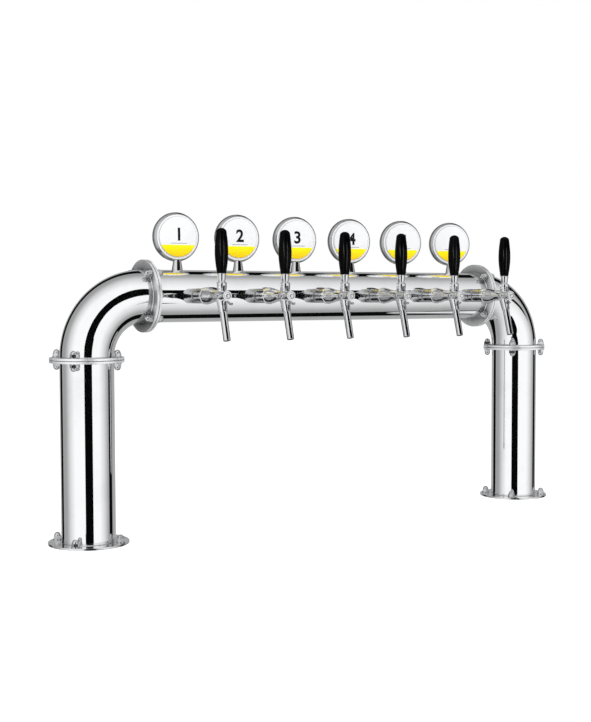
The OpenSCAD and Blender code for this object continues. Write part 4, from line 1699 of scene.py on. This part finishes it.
@dataclass
class Studio:
    """Camera, pale floor, soft light and the dark cards that polished steel mirrors.

    Args:
        spot: the camera's place.
        yaw: how far it looks to the right of +Y, in degrees.
        pitch: how far it looks down, in degrees.
        roll: how far it leans, in degrees.
        lens: its focal length in millimetres.
        card_y: the plane of the two curved cards.
        arch: (x, z, x, z) of both edges of the upper curved card at each step.
        low_arch: the same for the lower one.
    """

    spot: tuple[float, float, float] = (-1.4258, -2.1721, 0.4592)
    yaw: float = 31.99
    pitch: float = 2.88
    roll: float = -0.16
    lens: float = 61.73
    card_y: float = -2.5
    arch: tuple[tuple[float, float, float, float], ...] = (
        (-0.60, 0.23, -2.21, 0.21), (-0.70, 0.47, -2.26, 0.76), (-0.69, 0.73, -2.12, 1.31),
        (-0.58, 0.96, -1.81, 1.79), (-0.37, 1.13, -1.37, 2.14), (-0.09, 1.19, -0.86, 2.37),
        (0.22, 1.10, -0.34, 2.46), (0.49, 0.92, 0.16, 2.38), (0.68, 0.74, 0.60, 2.16),
        (0.78, 0.60, 0.84, 1.92), (0.84, 0.97, 0.92, 1.66), (6.0, 0.97, 6.0, 1.66),
    )
    low_arch: tuple[tuple[float, float, float, float], ...] = (
        (-2.33, -0.53, -0.35, -0.53), (-1.91, -1.15, -0.12, -0.56), (-1.23, -1.53, 0.24, -0.62),
        (-0.43, -1.64, 0.50, -0.80), (0.30, -1.57, 0.83, -0.93), (1.02, -1.26, 1.08, -1.02),
    )

    def build(self) -> None:
        """Sets up everything around the tower."""
        self._camera()
        self._world()
        self._floor()
        self._cards()
        self._lamps()
        bpy.context.scene.view_settings.view_transform = "Standard"
        log.info("studio ready")

    def _camera(self) -> None:
        """The camera, level with the taps and to their left."""
        data = bpy.data.cameras.new("camera")
        data.lens = self.lens
        data.sensor_width = 36.0
        data.clip_end = 60.0
        camera = linked("camera", data)
        yaw, pitch = math.radians(self.yaw), math.radians(self.pitch)
        level = math.cos(pitch)
        ahead = Vector((math.sin(yaw) * level, math.cos(yaw) * level, -math.sin(pitch)))
        turn = ahead.to_track_quat("-Z", "Y").to_matrix().to_4x4()
        camera.matrix_world = at(*self.spot) @ turn @ spun(self.roll, "Z")
        bpy.context.scene.camera = camera

    @staticmethod
    def _world() -> None:
        """White to the eye, softly shaded by direction to polished surfaces."""
        world = bpy.data.worlds.new("studio")
        world.use_nodes = True
        bpy.context.scene.world = world
        world.node_tree.nodes.clear()
        g = Graph(world.node_tree)
        way = g.node("ShaderNodeTexCoord").outputs["Generated"]
        ramp = g.node("ShaderNodeValToRGB", {0: Studio._turn(g, way, (-0.42, -0.89, 0.15))})
        stops = [(0, 1.03), (55, 1.03), (79, 0.72), (96, 0.42), (106, 0.35), (180, 0.46)]
        marks = ramp.color_ramp.elements
        while len(marks) < len(stops):
            marks.new(0.5)
        for mark, (degrees, level) in zip(marks, stops):
            mark.position = degrees / 180
            mark.color = rgba(level, level, level * 1.005)
        tilt = Studio._turn(g, way, (-0.575, -0.80, 0.15))
        ring = g.math("COMPARE", tilt, 124.5 / 180, 11 / 180)
        mirrored = g.mix(ring, ramp.outputs[0], rgba(0.003, 0.003, 0.003))
        kind = g.node("ShaderNodeLightPath").outputs
        plain = g.mix(kind["Is Camera Ray"], rgba(0.80, 0.81, 0.82), rgba(1.0, 1.0, 1.0))
        shade = g.node("ShaderNodeBackground", {0: g.mix(kind["Is Glossy Ray"], plain, mirrored)})
        g.node("ShaderNodeOutputWorld", {0: shade.outputs[0]})

    @staticmethod
    def _turn(g: Graph, way: Socket, axis: Triple) -> Socket:
        """The angle between a direction and an axis, as a share of half a turn."""
        feeds = {0: way, 1: Vector(axis).normalized()}
        dot = g.node("ShaderNodeVectorMath", feeds, operation="DOT_PRODUCT")
        return g.math("DIVIDE", g.math("ARCCOSINE", dot.outputs["Value"]), math.pi)

    @staticmethod
    def _stage(
        name: str, paint: Material, verts: Sequence[Sequence[float]], faces: list[tuple]
    ) -> Object:
        """Adds a mesh that belongs to the studio."""
        mesh = bpy.data.meshes.new(name)
        mesh.from_pydata(verts, [], faces)
        made = as_object(name, mesh, paint)
        return made

    def _floor(self) -> None:
        """A wide pale floor that meets the background without an edge."""
        half = 14.0
        paint, g = new_material("pale_floor")
        cloud = g.noise(g.node("ShaderNodeTexCoord").outputs["Object"], 3.0, 4.0)
        surface(g, {
            "Base Color": g.mix(cloud, rgba(0.90, 0.90, 0.90), rgba(0.94, 0.94, 0.94)),
            "Roughness": 0.9,
            "Specular IOR Level": 0.0,
            "Emission Color": rgba(1, 1, 1),
            "Emission Strength": 0.35,
        })
        corners = [(-half, -half, 0), (half, -half, 0), (half, half, 0), (-half, half, 0)]
        self._stage("floor", paint, corners, [(0, 1, 2, 3)]).visible_glossy = False

    def _cards(self) -> None:
        """Black cards, seen only in reflections, that draw the dark lines on the steel."""
        paint, g = new_material("black_card")
        black = rgba(0.002, 0.002, 0.002)
        surface(g, {"Base Color": black, "Roughness": 1.0, "Specular IOR Level": 0.0})
        upright = [(-1.776, -1.854), (-0.63, -3.369)]
        corners = [(x, y, z) for z in (-0.9, 0.72) for x, y in upright]
        cards = [self._stage("upright_card", paint, corners, [(0, 1, 3, 2)])]
        for name, edges in (("arch_card", self.arch), ("low_card", self.low_arch)):
            verts = [(x, self.card_y, z) for edge in edges for x, z in (edge[:2], edge[2:])]
            faces = [(k, k + 1, k + 3, k + 2) for k in range(0, 2 * len(edges) - 2, 2)]
            cards.append(self._stage(name, paint, verts, faces))
        for card in cards:
            card.visible_camera = False
            card.visible_diffuse = False
            card.visible_shadow = False
            card.visible_transmission = False

    @staticmethod
    def light_grips(grips: Sequence[Object]) -> None:
        """Two tall soft lamps that only the black grips mirror, as two faint lines."""
        lit = bpy.data.collections.new("grips")
        for grip in grips:
            lit.objects.link(grip)
        for index, (x, y) in enumerate(((-2.146, -2.05), (0.289, -2.70))):
            data = bpy.data.lights.new(f"strip_{index}", "AREA")
            data.shape, data.size, data.size_y, data.energy = "RECTANGLE", 0.26, 1.5, 34.0
            lamp = linked(f"strip_{index}", data)
            lamp.location = (x, y, 0.65)
            lamp.rotation_euler = Vector((-x, -y, 0)).to_track_quat("-Z", "Z").to_euler()
            lamp.light_linking.receiver_collection = lit

    @staticmethod
    def _lamps() -> None:
        """Two large soft lamps that polished steel doesn't mirror."""
        middle = Vector((0, 0, 0.3))
        for name, spot, power, size in (
            ("key", (-1.6, -2.6, 2.6), 45.0, 2.4),
            ("fill", (2.4, -1.8, 1.8), 16.0, 2.2),
        ):
            data = bpy.data.lights.new(name, "AREA")
            data.energy, data.size = power, size
            lamp = linked(name, data)
            lamp.location = spot
            lamp.rotation_euler = (middle - Vector(spot)).to_track_quat("-Z", "Y").to_euler()
            lamp.visible_glossy = False


def main() -> None:
    """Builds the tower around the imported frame, then its studio."""
    logging.basicConfig(level=logging.INFO, format="%(name)s %(message)s")
    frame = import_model()
    studio = Studio()
    studio.build()
    shop = Workshop(frame["nodes"])
    for node, key in KEPT.items():
        shop.dress(node, key)
    for assembly in (Pipework, Fasteners, TapRow):
        assembly(shop).build()
    grips = []
    for number in SIZES.row:
        grips.append(Handle(shop, number).build())
        FlowControl(shop, number).build()
    studio.light_grips(grips)
    Signs(shop).build()


if __name__ == "__main__":
    main()
